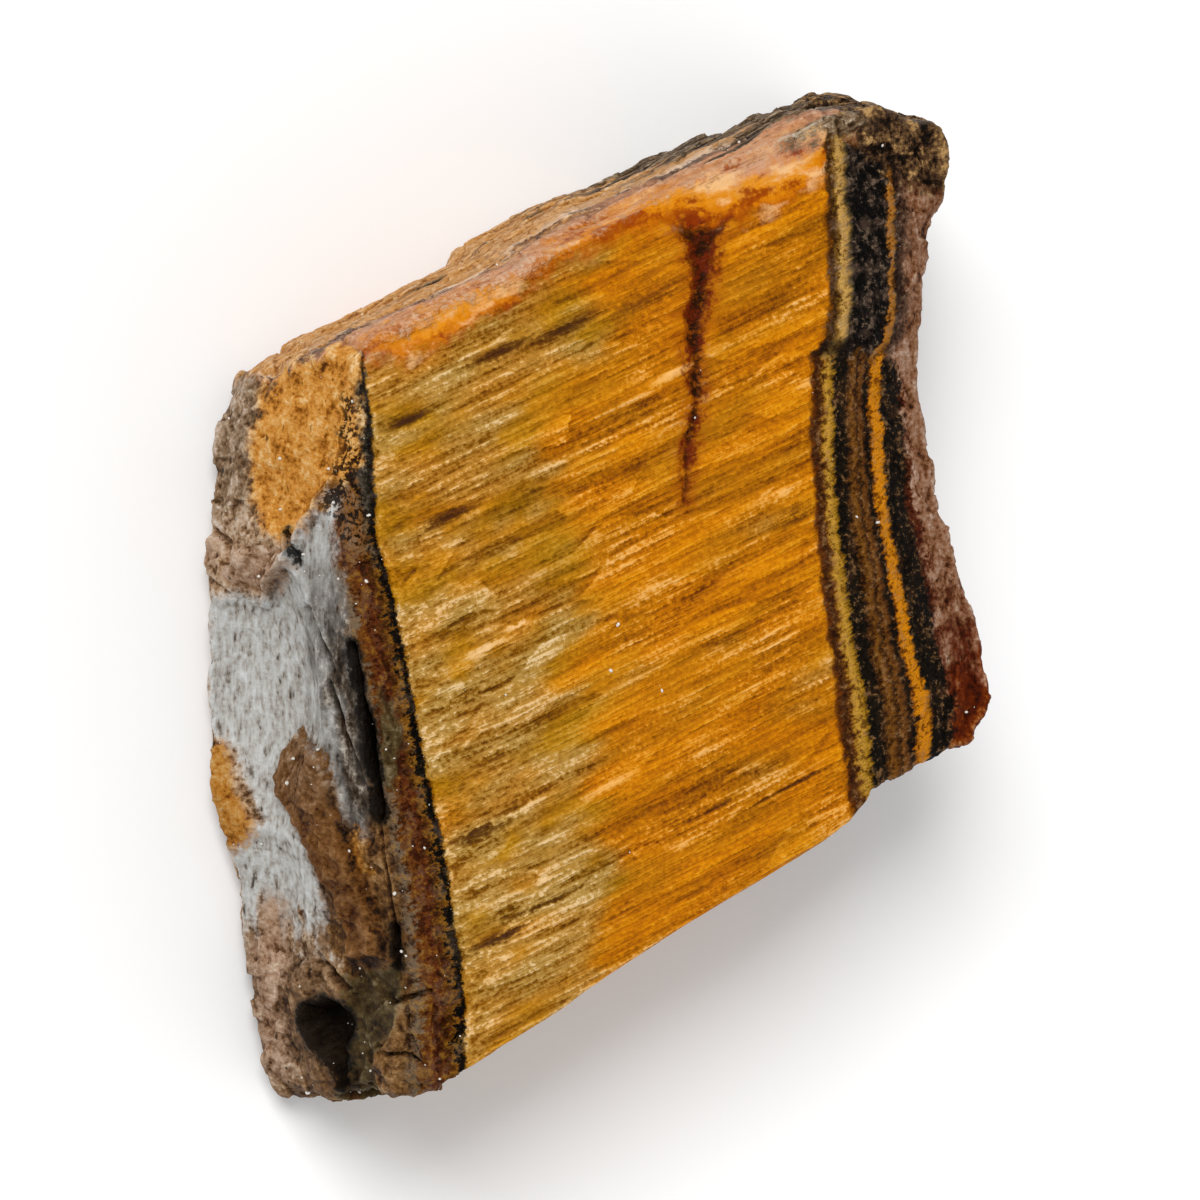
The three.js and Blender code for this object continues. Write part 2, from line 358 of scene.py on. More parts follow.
def plates(places: np.ndarray, size: Sequence[float], seed: float) -> np.ndarray:
    """Steps of about -1 to 1, level over each cell of a broken surface.

    Args:
        places: Points, one row each.
        size: The size of a cell along each axis.
        seed: Which cells to take.

    Returns:
        One number for each point.
    """
    spots = (places / np.asarray(size) + seed).tolist()
    return np.fromiter((noise.cell(noise.voronoi(spot)[1][0] * 9.7) for spot in spots), float, len(spots))


def along(line: Line, level: np.ndarray) -> np.ndarray:
    """The x of a line that runs up the sheet, at each y of level."""
    xs, ys = zip(*line)
    return np.interp(level, ys, xs)


def over(line: Line, place: np.ndarray) -> np.ndarray:
    """The y of a line that runs across the sheet, at each x of place."""
    xs, ys = zip(*line)
    return np.interp(place, xs, ys)


def gap_to(line: Line, flat: np.ndarray) -> np.ndarray:
    """How far each point of a sheet is from a line of straight stretches.

    Args:
        line: The line's points.
        flat: Points of the sheet, one row each.

    Returns:
        One distance for each point.
    """
    nearest = np.full(len(flat), np.inf)
    for start, end in zip(line, line[1:]):
        start, stretch = np.array(start), np.array(end) - np.array(start)
        share = np.clip((flat - start) @ stretch / (stretch @ stretch), 0.0, 1.0)
        nearest = np.minimum(nearest, np.linalg.norm(flat - start - share[:, None] * stretch, axis=1))
    return nearest


def depth_in(outline: Line, flat: np.ndarray) -> np.ndarray:
    """How far each point of a sheet is inside an outline, less than 0 outside it.

    Args:
        outline: The outline's corners.
        flat: Points of the sheet, one row each.

    Returns:
        One depth for each point.
    """
    closed = (*outline, outline[0])
    within = np.zeros(len(flat), bool)
    for (x0, y0), (x1, y1) in zip(closed, closed[1:]):
        if y0 == y1:
            continue
        spans = (y0 > flat[:, 1]) != (y1 > flat[:, 1])
        within ^= spans & (flat[:, 0] < (x1 - x0) * (flat[:, 1] - y0) / (y1 - y0) + x0)
    gap = gap_to(closed, flat)
    return np.where(within, gap, -gap)


def streak(smudges: Sequence[Smudge], fibre: np.ndarray) -> np.ndarray:
    """The strongest of some streaks at each point.

    Args:
        smudges: The streaks.
        fibre: Points as (along the fibres, across them, height).

    Returns:
        A share from 0 to 1 for each point.
    """
    strongest = np.zeros(len(fibre))
    for smudge in smudges:
        lie_s, lie_t = turned(np.array([[smudge.x, smudge.y, 0.0]]))[0, :2]
        reach = np.hypot((fibre[:, 0] - lie_s) / smudge.length, (fibre[:, 1] - lie_t) / smudge.width)
        strongest = np.maximum(strongest, smudge.weight * (1.0 - eased(reach, 0.0, 1.0)))
    return strongest


def turned(places: np.ndarray) -> np.ndarray:
    """Sheet places as (along the fibres, across them, height)."""
    cosine, sine = math.cos(FIBRE_TURN), math.sin(FIBRE_TURN)
    return places @ np.array([[cosine, -sine, 0.0], [sine, cosine, 0.0], [0.0, 0.0, 1.0]])


@dataclass
class Skin:
    """The stone's surface points while they are worked on.

    Attributes:
        places: The points on the layout sheet, with their heights.
        normals: The smooth block's outward direction at each.
        ends: The points that each edge joins, as a row of first ones and a row of second ones.
        fields: The measures taken so far.
    """

    places: np.ndarray
    normals: np.ndarray
    ends: np.ndarray
    fields: dict[Field, np.ndarray] = field(default_factory=dict)

    @classmethod
    def of(cls, mesh: bpy.types.Mesh) -> "Skin":
        """Reads the skin of a mesh.

        Args:
            mesh: The mesh, in metres.

        Returns:
            Its skin, with no fields yet.
        """
        count = len(mesh.vertices)
        places, normals = np.empty(count * 3), np.empty(count * 3)
        mesh.vertices.foreach_get("co", places)
        mesh.vertex_normals.foreach_get("vector", normals)
        ends = np.empty(len(mesh.edges) * 2, np.int64)
        mesh.edges.foreach_get("vertices", ends)
        return cls(
            places.reshape(-1, 3) / MM + SHEET_ZERO, normals.reshape(-1, 3), ends.reshape(-1, 2).T
        )

    def give(self, mesh: bpy.types.Mesh) -> None:
        """Puts the places back into a mesh in metres."""
        mesh.vertices.foreach_set("co", ((self.places - SHEET_ZERO) * MM).ravel())
        mesh.update()

    def averaged(self, values: np.ndarray, pull: float = 0.7) -> np.ndarray:
        """Draws each point's numbers towards its neighbours' mean.

        Args:
            values: Three numbers for each point.
            pull: How much of the way they are drawn.

        Returns:
            The drawn numbers.
        """
        first, second = self.ends
        count = len(values)
        joins = np.bincount(first, minlength=count) + np.bincount(second, minlength=count)
        drawn = np.empty_like(values)
        for axis, column in enumerate(values.T):
            around = np.bincount(first, column[second], count) + np.bincount(second, column[first], count)
            drawn[:, axis] = (1.0 - pull) * column + pull * around / joins
        return drawn

    def slant(self) -> np.ndarray:
        """The points on the slant sheet, which shows the gold face and the left flank at once."""
        x, y, z = self.places.T
        return np.column_stack((x * math.cos(SLANT) + (z - SLANT_HEIGHT) * math.sin(SLANT), y))

    def facing(self, direction: Sequence[float]) -> np.ndarray:
        """The cosine between the outward direction and another one."""
        return self.normals @ np.asarray(direction)


# ---- the stone's mesh ---------------------------------------------------------------------------


@dataclass
class StoneForm:
    """The stone's surface: a fine copy of the CAD block, broken and roughened.

    Attributes:
        voxel: Grid size of the fine copy.
        smoothing: Passes that round the whole of it.
        wear: Passes that wear its ends and its right flank smoother.
        triangles: Number of triangles kept.
        rib_height: Height of the ribs along the fibres.
        step_height: Height of the steps between blocks of fibres.
        layer_height: Height of the crust's layers.
        lump_height: Height of the ironstone's lumps.
        chip_height: Height of the ironstone's small flat breaks.
        ledge_height: Height of the broad breaks on the ends and the right flank.
        knob_height: How far the knob at the upper corner is swollen.
        stain_dip: How far the stain is sunk.
        dark_dip: How far a dark smudge is sunk.
        pale_rise: How far a pale splinter stands up.
        seam_dip: Depth of the seam between the gold and each wall.
        rim: Height under which wear smooths the ends and the right flank.
        dark_groove: Depth past which a groove counts as a dark gap and gets painted shade.
        nook: Hollowness that counts as a full nook, close by.
        wide_nook: Hollowness that counts as a full nook, further around.
    """

    voxel: float = 0.1
    smoothing: int = 14
    wear: int = 50
    triangles: int = 194_000
    rib_height: float = 0.08
    step_height: float = 0.06
    layer_height: float = 0.24
    lump_height: float = 0.34
    chip_height: float = 0.1
    ledge_height: float = 0.3
    knob_height: float = 0.35
    stain_dip: float = 0.13
    dark_dip: float = 0.08
    pale_rise: float = 0.06
    seam_dip: float = 0.1
    rim: float = 13.5
    dark_groove: float = 0.5
    nook: float = 0.05
    wide_nook: float = 0.2

    def build(self) -> bpy.types.Object:
        """Makes the stone, with its fields as point attributes.

        Returns:
            The finished object, in the CAD frame.
        """
        stone = self.fine_copy()
        skin = Skin.of(stone.data)
        self.wear_sides(skin)
        self.measure(skin)
        self.break_left_flank(skin)
        self.grow_relief(skin)
        skin.places[:, 2] = np.maximum(skin.places[:, 2], 0.0)
        skin.fields[Field.CAVITY] = self.hollowness(skin)
        skin.give(stone.data)
        self.thin_out(stone)
        self.keep_fields(stone, skin)
        stone.data.shade_smooth()
        return stone

    def fine_copy(self) -> bpy.types.Object:
        """Copies the CAD node, merges the copy and rebuilds it on a fine grid.

        Returns:
            The smooth fine copy, linked to the scene.
        """
        mesh = bpy.data.meshes.new("stone")
        work = bmesh.new()
        work.from_mesh(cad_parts[NODE].data)
        bmesh.ops.remove_doubles(work, verts=work.verts, dist=0.001 * MM)
        work.to_mesh(mesh)
        work.free()
        stone = bpy.data.objects.new("tigers_eye_stone", mesh)
        bpy.context.scene.collection.objects.link(stone)
        grid = stone.modifiers.new("grid", "REMESH")
        grid.mode = "VOXEL"
        grid.voxel_size = self.voxel * MM
        even = stone.modifiers.new("even", "SMOOTH")
        even.iterations = self.smoothing
        self.settle(stone)
        return stone

    @staticmethod
    def settle(piece: bpy.types.Object) -> None:
        """Makes a piece's modifiers part of its mesh.

        Args:
            piece: The object, which keeps no modifiers.
        """
        seen = piece.evaluated_get(bpy.context.evaluated_depsgraph_get())
        done = bpy.data.meshes.new_from_object(seen)
        piece.modifiers.clear()
        piece.data = done

    def wear_sides(self, skin: Skin) -> None:
        """Wears the ends and the right flank smooth below the rim, before they are roughened.

        Args:
            skin: The points to wear.
        """
        share = self.side_share(skin) * eased(skin.places[:, 2], self.rim, self.rim - 2.0)
        for _ in range(self.wear):
            skin.places += share[:, None] * (skin.averaged(skin.places) - skin.places)
            skin.normals += share[:, None] * (skin.averaged(skin.normals) - skin.normals)
        skin.normals /= np.linalg.norm(skin.normals, axis=1)[:, None]

    @staticmethod
    def side_share(skin: Skin) -> np.ndarray:
        """Tells the ends and the right flank from the gold face and the left flank.

        Args:
            skin: The points to look at.

        Returns:
            A share for each point, 1 on the ends and the right flank.
        """
        upward = eased(np.abs(skin.facing((0.0, 0.0, 1.0))), 0.3, 0.7)
        leftward = eased(skin.facing((-1.0, 0.0, 0.0)), 0.1, 0.5)
        return (1.0 - upward) * (1.0 - leftward)

    def measure(self, skin: Skin) -> None:
        """Lays out the vein, the crust, the marks on the gold and the gold's own tones.

        Args:
            skin: The points that get the fields.
        """
        self.measure_vein(skin)
        self.measure_marks(skin)
        self.measure_gold(skin)
        self.measure_crust(skin)

    def measure_vein(self, skin: Skin) -> None:
        """Measures how far each point is past the walls, the belt's line and the crust's line.

        Args:
            skin: The points that get the fields.
        """
        x, y, z = skin.places.T
        fibre = turned(skin.places)
        wander = 0.10 * swell(skin.places, 1.3, 3.3) + 0.07 * swell(skin.places, 0.5, 4.1)
        right = (x - along(RIGHT_WALL, y) + wander) / along(RIGHT_SPREAD, y)
        skin.fields[Field.LEFT_WALL] = x - along(LEFT_WALL, y) + wander
        skin.fields[Field.RIGHT_WALL] = right
        skin.fields[Field.ROCK] = right - along(ROCK_LINE, y)
        skin.fields[Field.SHEEN] = x - along(SHEEN_LINE, y)
        skin.fields[Field.BELT] = y - over(BELT_LINE, x) + 0.3 * swell(fibre, (3.0, 0.8, 0.8), 7.1)
        crust = (
            y - over(CRUST_LINE, x) + 0.3 * swell(fibre, (3.0, 0.8, 0.8), 9.6)
            + 0.4 * eased(x, 6.5, 8.5) * swell(skin.places, 1.1, 4.9)
        )
        # lower down the ends, the crust's layers widen, and round the right corner they drift
        below = np.maximum(13.0 - z, 0.0)
        crust += 0.35 * below * eased(crust, -0.5, 0.3)
        drift = (2.6 * swell(skin.places, (5.0, 4.0, 4.0), 8.1) + 0.25 * below) * eased(below, 0.0, 4.0)
        skin.fields[Field.CRUST] = crust + drift * eased(x, 7.0, 10.0)

    @staticmethod
    def measure_marks(skin: Skin) -> None:
        """Lays the belt's waxy tones, the smudges and the stain on the gold.

        Args:
            skin: The points that get the fields.
        """
        fibre = turned(skin.places)
        upward = eased(skin.facing((0.0, 0.0, 1.0)), 0.3, 0.7)
        waxy = 1.3 * swell(fibre, (1.9, 0.8, 0.8), 6.4) + 0.9 * swell(fibre, (0.6, 0.34, 0.34), 3.7)
        # painted highlight: the belt leans pale towards the right, where its rounded rim is brightest
        waxy += 0.3 * eased(skin.places[:, 0], 3.0, 5.0)
        skin.fields[Field.WAX] = np.clip(waxy, -1.0, 1.0)
        skin.fields[Field.DARK] = streak(DARK_SMUDGES, fibre) * upward
        skin.fields[Field.PALE] = streak(PALE_SMUDGES, fibre) * upward
        stain = depth_in(STAIN, skin.places[:, :2]) + 0.22 * swell(skin.places, 0.7, 2.2)
        skin.fields[Field.STAIN] = stain * upward - 5.0 * (1.0 - upward)

    @staticmethod
    def measure_gold(skin: Skin) -> None:
        """Tones the gold's blocks of fibres.

        Args:
            skin: The points that get the fields.
        """
        fibre = turned(skin.places)
        drift = np.column_stack(
            (swell(fibre, 2.4, 4.4), swell(fibre, 2.4, 5.9), np.zeros(len(fibre)))
        )
        streaks = swell(fibre, (7.0, 0.75, 0.75), 2.7) + 0.6 * swell(fibre, (3.5, 0.4, 0.4), 5.2)
        blocks = plates(fibre + 0.5 * drift, (7.0, 1.0, 1.0), 2.3)
        hue = 1.2 * swell(fibre, (4.2, 1.6, 1.6), 1.2) + 0.8 * swell(fibre, (2.0, 0.6, 0.6), 7.7)
        frost = swell(fibre, (4.5, 1.5, 1.5), 6.6) + 0.5 * swell(fibre, (1.2, 0.7, 0.7), 2.1)
        # the dull side of the painted sheen gets more pale broken fibres
        frost += 0.3 * eased(skin.fields[Field.SHEEN], 0.5, -2.5)
        skin.fields[Field.BLOCK] = np.clip(0.9 * streaks + 0.45 * blocks, -1.0, 1.0)
        skin.fields[Field.HUE] = np.clip(hue, -1.0, 1.0)
        skin.fields[Field.FROST] = eased(frost, -0.15, 0.4)

    @staticmethod
    def measure_crust(skin: Skin) -> None:
        """Shares the crust out between grey weathering and amber.

        Args:
            skin: The points that get the fields.
        """
        x = skin.places[:, 0]
        fibre = turned(skin.places)
        beyond = np.minimum(skin.fields[Field.CRUST], 3.0)
        patchy = swell(skin.places, (1.8, 1.2, 1.2), 8.8)
        layered = swell(fibre, (8.0, 0.9, 0.8), 3.6) + 0.5 * swell(fibre, (3.0, 0.4, 0.35), 1.1)
        rightward = 0.16 * np.maximum(x, 0.0) + 0.03 * np.minimum(x, 0.0)
        grey = 0.3 * beyond + rightward - 1.05 + 0.8 * layered + 0.5 * patchy
        amber = 0.5 * beyond - 0.1 * np.maximum(x, -4.0) - 1.1 + 0.6 * patchy - 0.7 * layered
        skin.fields[Field.GREY] = eased(grey, -0.25, 0.55)
        skin.fields[Field.AMBER] = eased(amber, -0.4, 0.7)

    def break_left_flank(self, skin: Skin) -> None:
        """Raises and sinks the patches and grooves of the left flank.

        Args:
            skin: The points to move, which get the flank's fields.
        """
        flat = skin.slant()
        seen = eased(skin.facing((-math.sin(SLANT), 0.0, math.cos(SLANT))), -0.5, -0.15)
        share = seen * eased(skin.fields[Field.LEFT_WALL], 0.6, -0.2)
        near = np.flatnonzero(share > 0.0)
        wobble = 0.14 * swell(skin.places[near], 0.9, 3.1) + 0.07 * swell(skin.places[near], 0.35, 6.3)
        push = np.zeros(len(near))
        for kind in FLANK_FIELDS:
            skin.fields[kind] = np.full(len(flat), FAR_OUTSIDE)
        for patch in PATCHES:
            inside = depth_in(patch.outline, flat[near]) + wobble
            push += patch.lift * eased(inside, 0.0, patch.shoulder)
            if patch.kind:
                known = skin.fields[patch.kind]
                known[near] = np.maximum(known[near], inside - 6.0 * (1.0 - share[near]))
        for groove in GROOVES:
            gap = gap_to(groove.line, flat[near]) + 0.5 * wobble
            push -= groove.depth * (1.0 - eased(gap, 0.0, groove.half_width))
            # painted shade: a groove past this depth counts as a gap and is painted near black
            if groove.depth > self.dark_groove:
                known = skin.fields[Field.HOLLOW]
                known[near] = np.maximum(known[near], groove.half_width - gap)
        skin.places[near] += skin.normals[near] * (push * share[near])[:, None]
        y = skin.places[:, 1]
        # painted shade: the flank is darkened beside the gap, more so lower down the sheet, where the
        # shell curves away from the light; darker rock is mixed in
        streaky = swell(skin.places, (0.5, 1.7, 0.8), 1.9)
        beside = 1.0 - eased(gap_to(SHADE_AND_DARK_ROCK_LINE, flat) + 1.3 * streaky, 0.3, 2.7)
        skin.fields[Field.GLOOM] = beside * eased(y, 4.5, -2.5)
        fade = 0.6 - 1.3 * eased(y + 2.2 * streaky, -10.6, -17.6)
        skin.fields[Field.SHELL] = np.minimum(skin.fields[Field.SHELL], fade)

    def grow_relief(self, skin: Skin) -> None:
        """Roughens the surface: fibres on the gold, layers in the crust, lumps on the ironstone.

        Args:
            skin: The points to move.
        """
        fibre = turned(skin.places)
        left, right = skin.fields[Field.LEFT_WALL], skin.fields[Field.RIGHT_WALL]
        gold = eased(left, -0.1, 0.3) * eased(right, 0.2, -0.3)
        crust = eased(skin.fields[Field.CRUST], -0.3, 0.4)
        belt = eased(skin.fields[Field.BELT], -0.4, 0.4)
        upward = eased(skin.facing((0.0, 0.0, 1.0)), 0.2, 0.8)

        ribs = 0.6 * swell(fibre, (8.0, 0.75, 0.75), 1.7) + 0.4 * swell(fibre, (4.0, 0.34, 0.34), 8.2)
        fibres = self.rib_height * ribs + self.step_height * skin.fields[Field.BLOCK]
        layers = 0.25 + self.layer_height * (
            0.5 * swell(fibre, (6.0, 0.7, 1.2), 6.1) + 0.6 * swell(fibre, (3.0, 0.3, 0.5), 2.9)
        )
        lumps = self.lump_height * (
            0.5 * swell(skin.places, (1.8, 2.1, 3.0), 5.5)
            + 0.3 * swell(skin.places, (0.8, 0.9, 1.4), 7.7)
            + 0.2 * swell(skin.places, (0.36, 0.42, 0.7), 9.1)
        )
        chips = self.chip_height * (
            plates(skin.places, (1.1, 1.5, 2.0), 3.9) + 0.5 * plates(skin.places, (0.5, 0.6, 0.9), 1.3)
        )
        drift = np.column_stack([swell(skin.places, 1.6, seed) for seed in (1.4, 6.7, 8.3)])
        ledges = self.ledge_height * (
            plates(skin.places + 0.9 * drift, (5.0, 4.6, 1.6), 5.7)
            + 1.3 * swell(skin.places, (3.5, 4.5, 2.4), 2.6)
        )
        calm = (1.0 - 0.75 * eased(skin.fields[Field.SHELL], -0.2, 0.5)) * (
            1.0 - 0.5 * eased(skin.fields[Field.OCHRE], -0.2, 0.5)
        )
        level = upward * eased(right, -0.2, 0.3) * eased(skin.fields[Field.CRUST], 0.0, -0.8)
        rough = (lumps + chips) * calm * (1.0 - 0.55 * level)
        height = gold * (1.0 - crust) * fibres * (1.0 - 0.5 * belt)
        height += gold * crust * (layers + 0.6 * chips) + (1.0 - gold) * rough
        z = skin.places[:, 2]
        height += ledges * self.side_share(skin) * eased(z, self.rim, 10.0) * eased(z, 0.1, 1.2)
        rightward = eased(skin.facing((1.0, 0.0, 0.0)), 0.3, 0.8)
        height += along(RIGHT_SWELL, skin.places[:, 1]) * rightward
        seams = np.exp(-((left + 0.15) / 0.14) ** 2) + 0.6 * np.exp(-((right + 0.55) / 0.16) ** 2)
        height -= self.seam_dip * seams * upward
        height += self.knob_height * np.exp(-((skin.places[:, 0] - 9.0) / 4.5) ** 2) * eased(
            skin.places[:, 1], 18.5, 20.5
        )
        height -= self.stain_dip * eased(skin.fields[Field.STAIN], -0.15, 0.4)
        height -= self.dark_dip * skin.fields[Field.DARK] - self.pale_rise * skin.fields[Field.PALE]
        skin.places += skin.normals * height[:, None]

    def hollowness(self, skin: Skin, passes: int = 30) -> np.ndarray:
        """How far each point lies below its surroundings, along the outward direction.

        Args:
            skin: The worked points.
            passes: How far around a point its wide surroundings reach, in edges.

        Returns:
            A number from -1 on an edge to 1 in a nook, for each point.
        """
        around = skin.places
        below = np.zeros(len(around))
        for turn in range(passes):
            around = skin.averaged(around)
            if turn in (passes // 6, passes - 1):
                gap = np.einsum("ij,ij->i", around - skin.places, skin.normals)
                below += gap / (self.nook if turn < passes - 1 else self.wide_nook)
        return np.clip(below, -1.0, 1.0)

    def thin_out(self, stone: bpy.types.Object) -> None:
        """Takes triangles away where the surface is flat.

        Args:
            stone: The stone, on its fine grid.
        """
        squares = len(stone.data.polygons)
        fewer = stone.modifiers.new("fewer", "DECIMATE")
        fewer.ratio = min(1.0, self.triangles / (2.0 * squares))
        fewer.use_collapse_triangulate = True
        self.settle(stone)

    @staticmethod
    def keep_fields(stone: bpy.types.Object, skin: Skin) -> None:
        """Stores each field on the thinned mesh, from the nearest point of the fine one.

        Args:
            stone: The thinned stone.
            skin: The fine points and their fields.
        """
        tree = kdtree.KDTree(len(skin.places))
        for index, place in enumerate(((skin.places - SHEET_ZERO) * MM).tolist()):
            tree.insert(place, index)
        tree.balance()
        nearest = np.array([tree.find(vertex.co)[1] for vertex in stone.data.vertices])
        for kind, values in skin.fields.items():
            layer = stone.data.attributes.new(kind.value, "FLOAT", "POINT")
            layer.data.foreach_set("value", values[nearest].astype(np.float32))


# ---- laying out shader nodes --------------------------------------------------------------------

Stops = tuple[tuple[float, str], ...]


def srgb(code: str) -> tuple[float, float, float, float]:
    """Reads a colour.

    Args:
        code: Six hexadecimal digits.

    Returns:
        The linear colour that shaders take, with its alpha.
    """
    parts = [int(code[i:i + 2], 16) / 255.0 for i in (0, 2, 4)]
    linear = [p / 12.92 if p <= 0.04045 else ((p + 0.055) / 1.055) ** 2.4 for p in parts]
    return (*linear, 1.0)


@dataclass
class Wiring:
    """Adds nodes to one shader tree and joins them up.

    Attributes:
        tree: The material's or the group's node tree.
    """

    tree: bpy.types.NodeTree

    def add(self, kind: str, **settings: object) -> bpy.types.Node:
        """Adds a node.

        Args:
            kind: The node's type.
            settings: Properties to set on it.

        Returns:
            The node.
        """
        node = self.tree.nodes.new(kind)
        for name, value in settings.items():
            setattr(node, name, value)
        return node

    def feed(self, socket: bpy.types.NodeSocket, value: Feed) -> None:
        """Links a socket to another one, or gives it a plain value.

        Args:
            socket: The socket to feed.
            value: What feeds it.
        """
        if isinstance(value, bpy.types.NodeSocket):
            self.tree.links.new(value, socket)
        else:
            socket.default_value = value

    def maths(self, operation: str, *values: Feed, clamp: bool = False) -> bpy.types.NodeSocket:
        """Adds one sum on numbers.

        Args:
            operation: The sum.
            values: What it is worked on.
            clamp: Whether the result is held within 0 to 1.

        Returns:
            The result.
        """
        node = self.add("ShaderNodeMath", operation=operation, use_clamp=clamp)
        for socket, value in zip(node.inputs, values):
            self.feed(socket, value)
        return node.outputs[0]

    def vector(self, operation: str, *values: Feed) -> bpy.types.NodeSocket:
        """Adds one sum on vectors.

        Args:
            operation: The sum.
            values: What it is worked on.

        Returns:
            The result.
        """
        node = self.add("ShaderNodeVectorMath", operation=operation)
        for socket, value in zip(node.inputs, values):
            self.feed(socket, value)
        return node.outputs[0]

    def total(self, *terms: Feed) -> bpy.types.NodeSocket:
        """Adds several numbers up.

        Args:
            terms: The numbers.

        Returns:
            Their sum.
        """
        result = terms[0]
        for term in terms[1:]:
            result = self.maths("ADD", result, term)
        return result

    def remap(self, value: Feed, low: float, high: float, bottom: float = 0.0, top: float = 1.0,
              smooth: bool = False) -> bpy.types.NodeSocket:
        """Moves a number from one range to another, and holds it at the ends beyond them.

        Args:
            value: The number.
            low: Where it gives bottom.
            high: Where it gives top.
            bottom: What it gives at low.
            top: What it gives at high.
            smooth: Whether it eases in and out.

        Returns:
            The moved number.
        """
        node = self.add(
            "ShaderNodeMapRange", interpolation_type="SMOOTHSTEP" if smooth else "LINEAR"
        )
        for socket, part in zip(node.inputs, (value, low, high, bottom, top)):
            self.feed(socket, part)
        return node.outputs[0]

    def noise(self, where: Feed, detail: float = 2.0, roughness: float = 0.5) -> bpy.types.NodeSocket:
        """Adds noise of 0 to 1 with features about 1 across.

        Args:
            where: The place that it is read at.
            detail: Number of finer layers of noise in it.
            roughness: How strong the finer layers are.

        Returns:
            The noise.
        """
        node = self.add("ShaderNodeTexNoise", noise_dimensions="3D")
        self.feed(node.inputs["Vector"], where)
        node.inputs["Scale"].default_value = 1.0
        node.inputs["Detail"].default_value = detail
        node.inputs["Roughness"].default_value = roughness
        return node.outputs["Fac"]

    def ramp(self, value: Feed, stops: Stops) -> bpy.types.NodeSocket:
        """Turns a number into a colour.

        Args:
            value: The number, from 0 to 1.
            stops: The colours, each with the number that gives it.

        Returns:
            The colour.
        """
        node = self.add("ShaderNodeValToRGB")
        elements = node.color_ramp.elements
        for index, (place, code) in enumerate(stops):
            element = elements[index] if index < 2 else elements.new(place)
            element.position = place
            element.color = srgb(code)
        self.feed(node.inputs[0], value)
        return node.outputs[0]

    def mix(self, share: Feed, first: Feed, second: Feed, how: str = "MIX") -> bpy.types.NodeSocket:
        """Mixes two colours.

        Args:
            share: How much of the second shows.
            first: The first colour.
            second: The second colour.
            how: The way that they are mixed.

        Returns:
            The mixed colour.
        """
        node = self.add("ShaderNodeMix", data_type="RGBA", blend_type=how)
        for index, value in ((0, share), (6, first), (7, second)):
            self.feed(node.inputs[index], value)
        return node.outputs[2]

    def blend(self, share: Feed, first: Feed, second: Feed) -> bpy.types.NodeSocket:
        """Mixes two numbers.

        Args:
            share: How much of the second shows.
            first: The first number.
            second: The second number.

        Returns:
            The mixed number.
        """
        node = self.add("ShaderNodeMix", data_type="FLOAT")
        for index, value in ((0, share), (2, first), (3, second)):
            self.feed(node.inputs[index], value)
        return node.outputs[0]

    def field(self, kind: Field) -> bpy.types.NodeSocket:
        """A measure that the stone's points carry."""
        return self.add("ShaderNodeAttribute", attribute_name=kind.value).outputs["Fac"]

    def call(self, group: bpy.types.NodeTree, **values: Feed) -> bpy.types.Node:
        """Places a node group and feeds its inputs.

        Args:
            group: The group.
            values: What feeds each input, by its name with underscores for spaces.

        Returns:
            The group's node.
        """
        node = self.add("ShaderNodeGroup", node_tree=group)
        for name, value in values.items():
            self.feed(node.inputs[name.replace("_", " ")], value)
        return node


@dataclass
class Group:
    """A shader node group under construction.

    Attributes:
        name: The group's name.
        inputs: The name and socket type of each input.
        outputs: The name and socket type of each output.
    """

    name: str
    inputs: dict[str, str]
    outputs: dict[str, str]

    def build(self, body: Callable[[Wiring, bpy.types.NodeInputs], dict[str, Feed]]) -> bpy.types.NodeTree:
        """Makes the group.

        Args:
            body: Adds the nodes, given the wiring and the group's inputs, and returns what feeds
                each output.

        Returns:
            The finished node tree.
        """
        tree = bpy.data.node_groups.new(self.name, "ShaderNodeTree")
        for side, sockets in (("INPUT", self.inputs), ("OUTPUT", self.outputs)):
            for name, kind in sockets.items():
                tree.interface.new_socket(name=name, in_out=side, socket_type="NodeSocket" + kind)
        wiring = Wiring(tree)
        results = body(wiring, wiring.add("NodeGroupInput").outputs)
        end = wiring.add("NodeGroupOutput")
        for name, value in results.items():
            wiring.feed(end.inputs[name], value)
        return tree


# ---- shared effects -----------------------------------------------------------------------------


class Noise(Enum):
    """The noises that the finishes are made of, each of 0 to 1."""

    GRAIN = "Grain"  # fine grains
    RIBS = "Ribs"  # ribs along the fibres
    HAIRS = "Hairs"  # hairlines along the fibres
    MOTTLE = "Mottle"  # broad blotches
    DASHES = "Dashes"  # short dashes along the walls


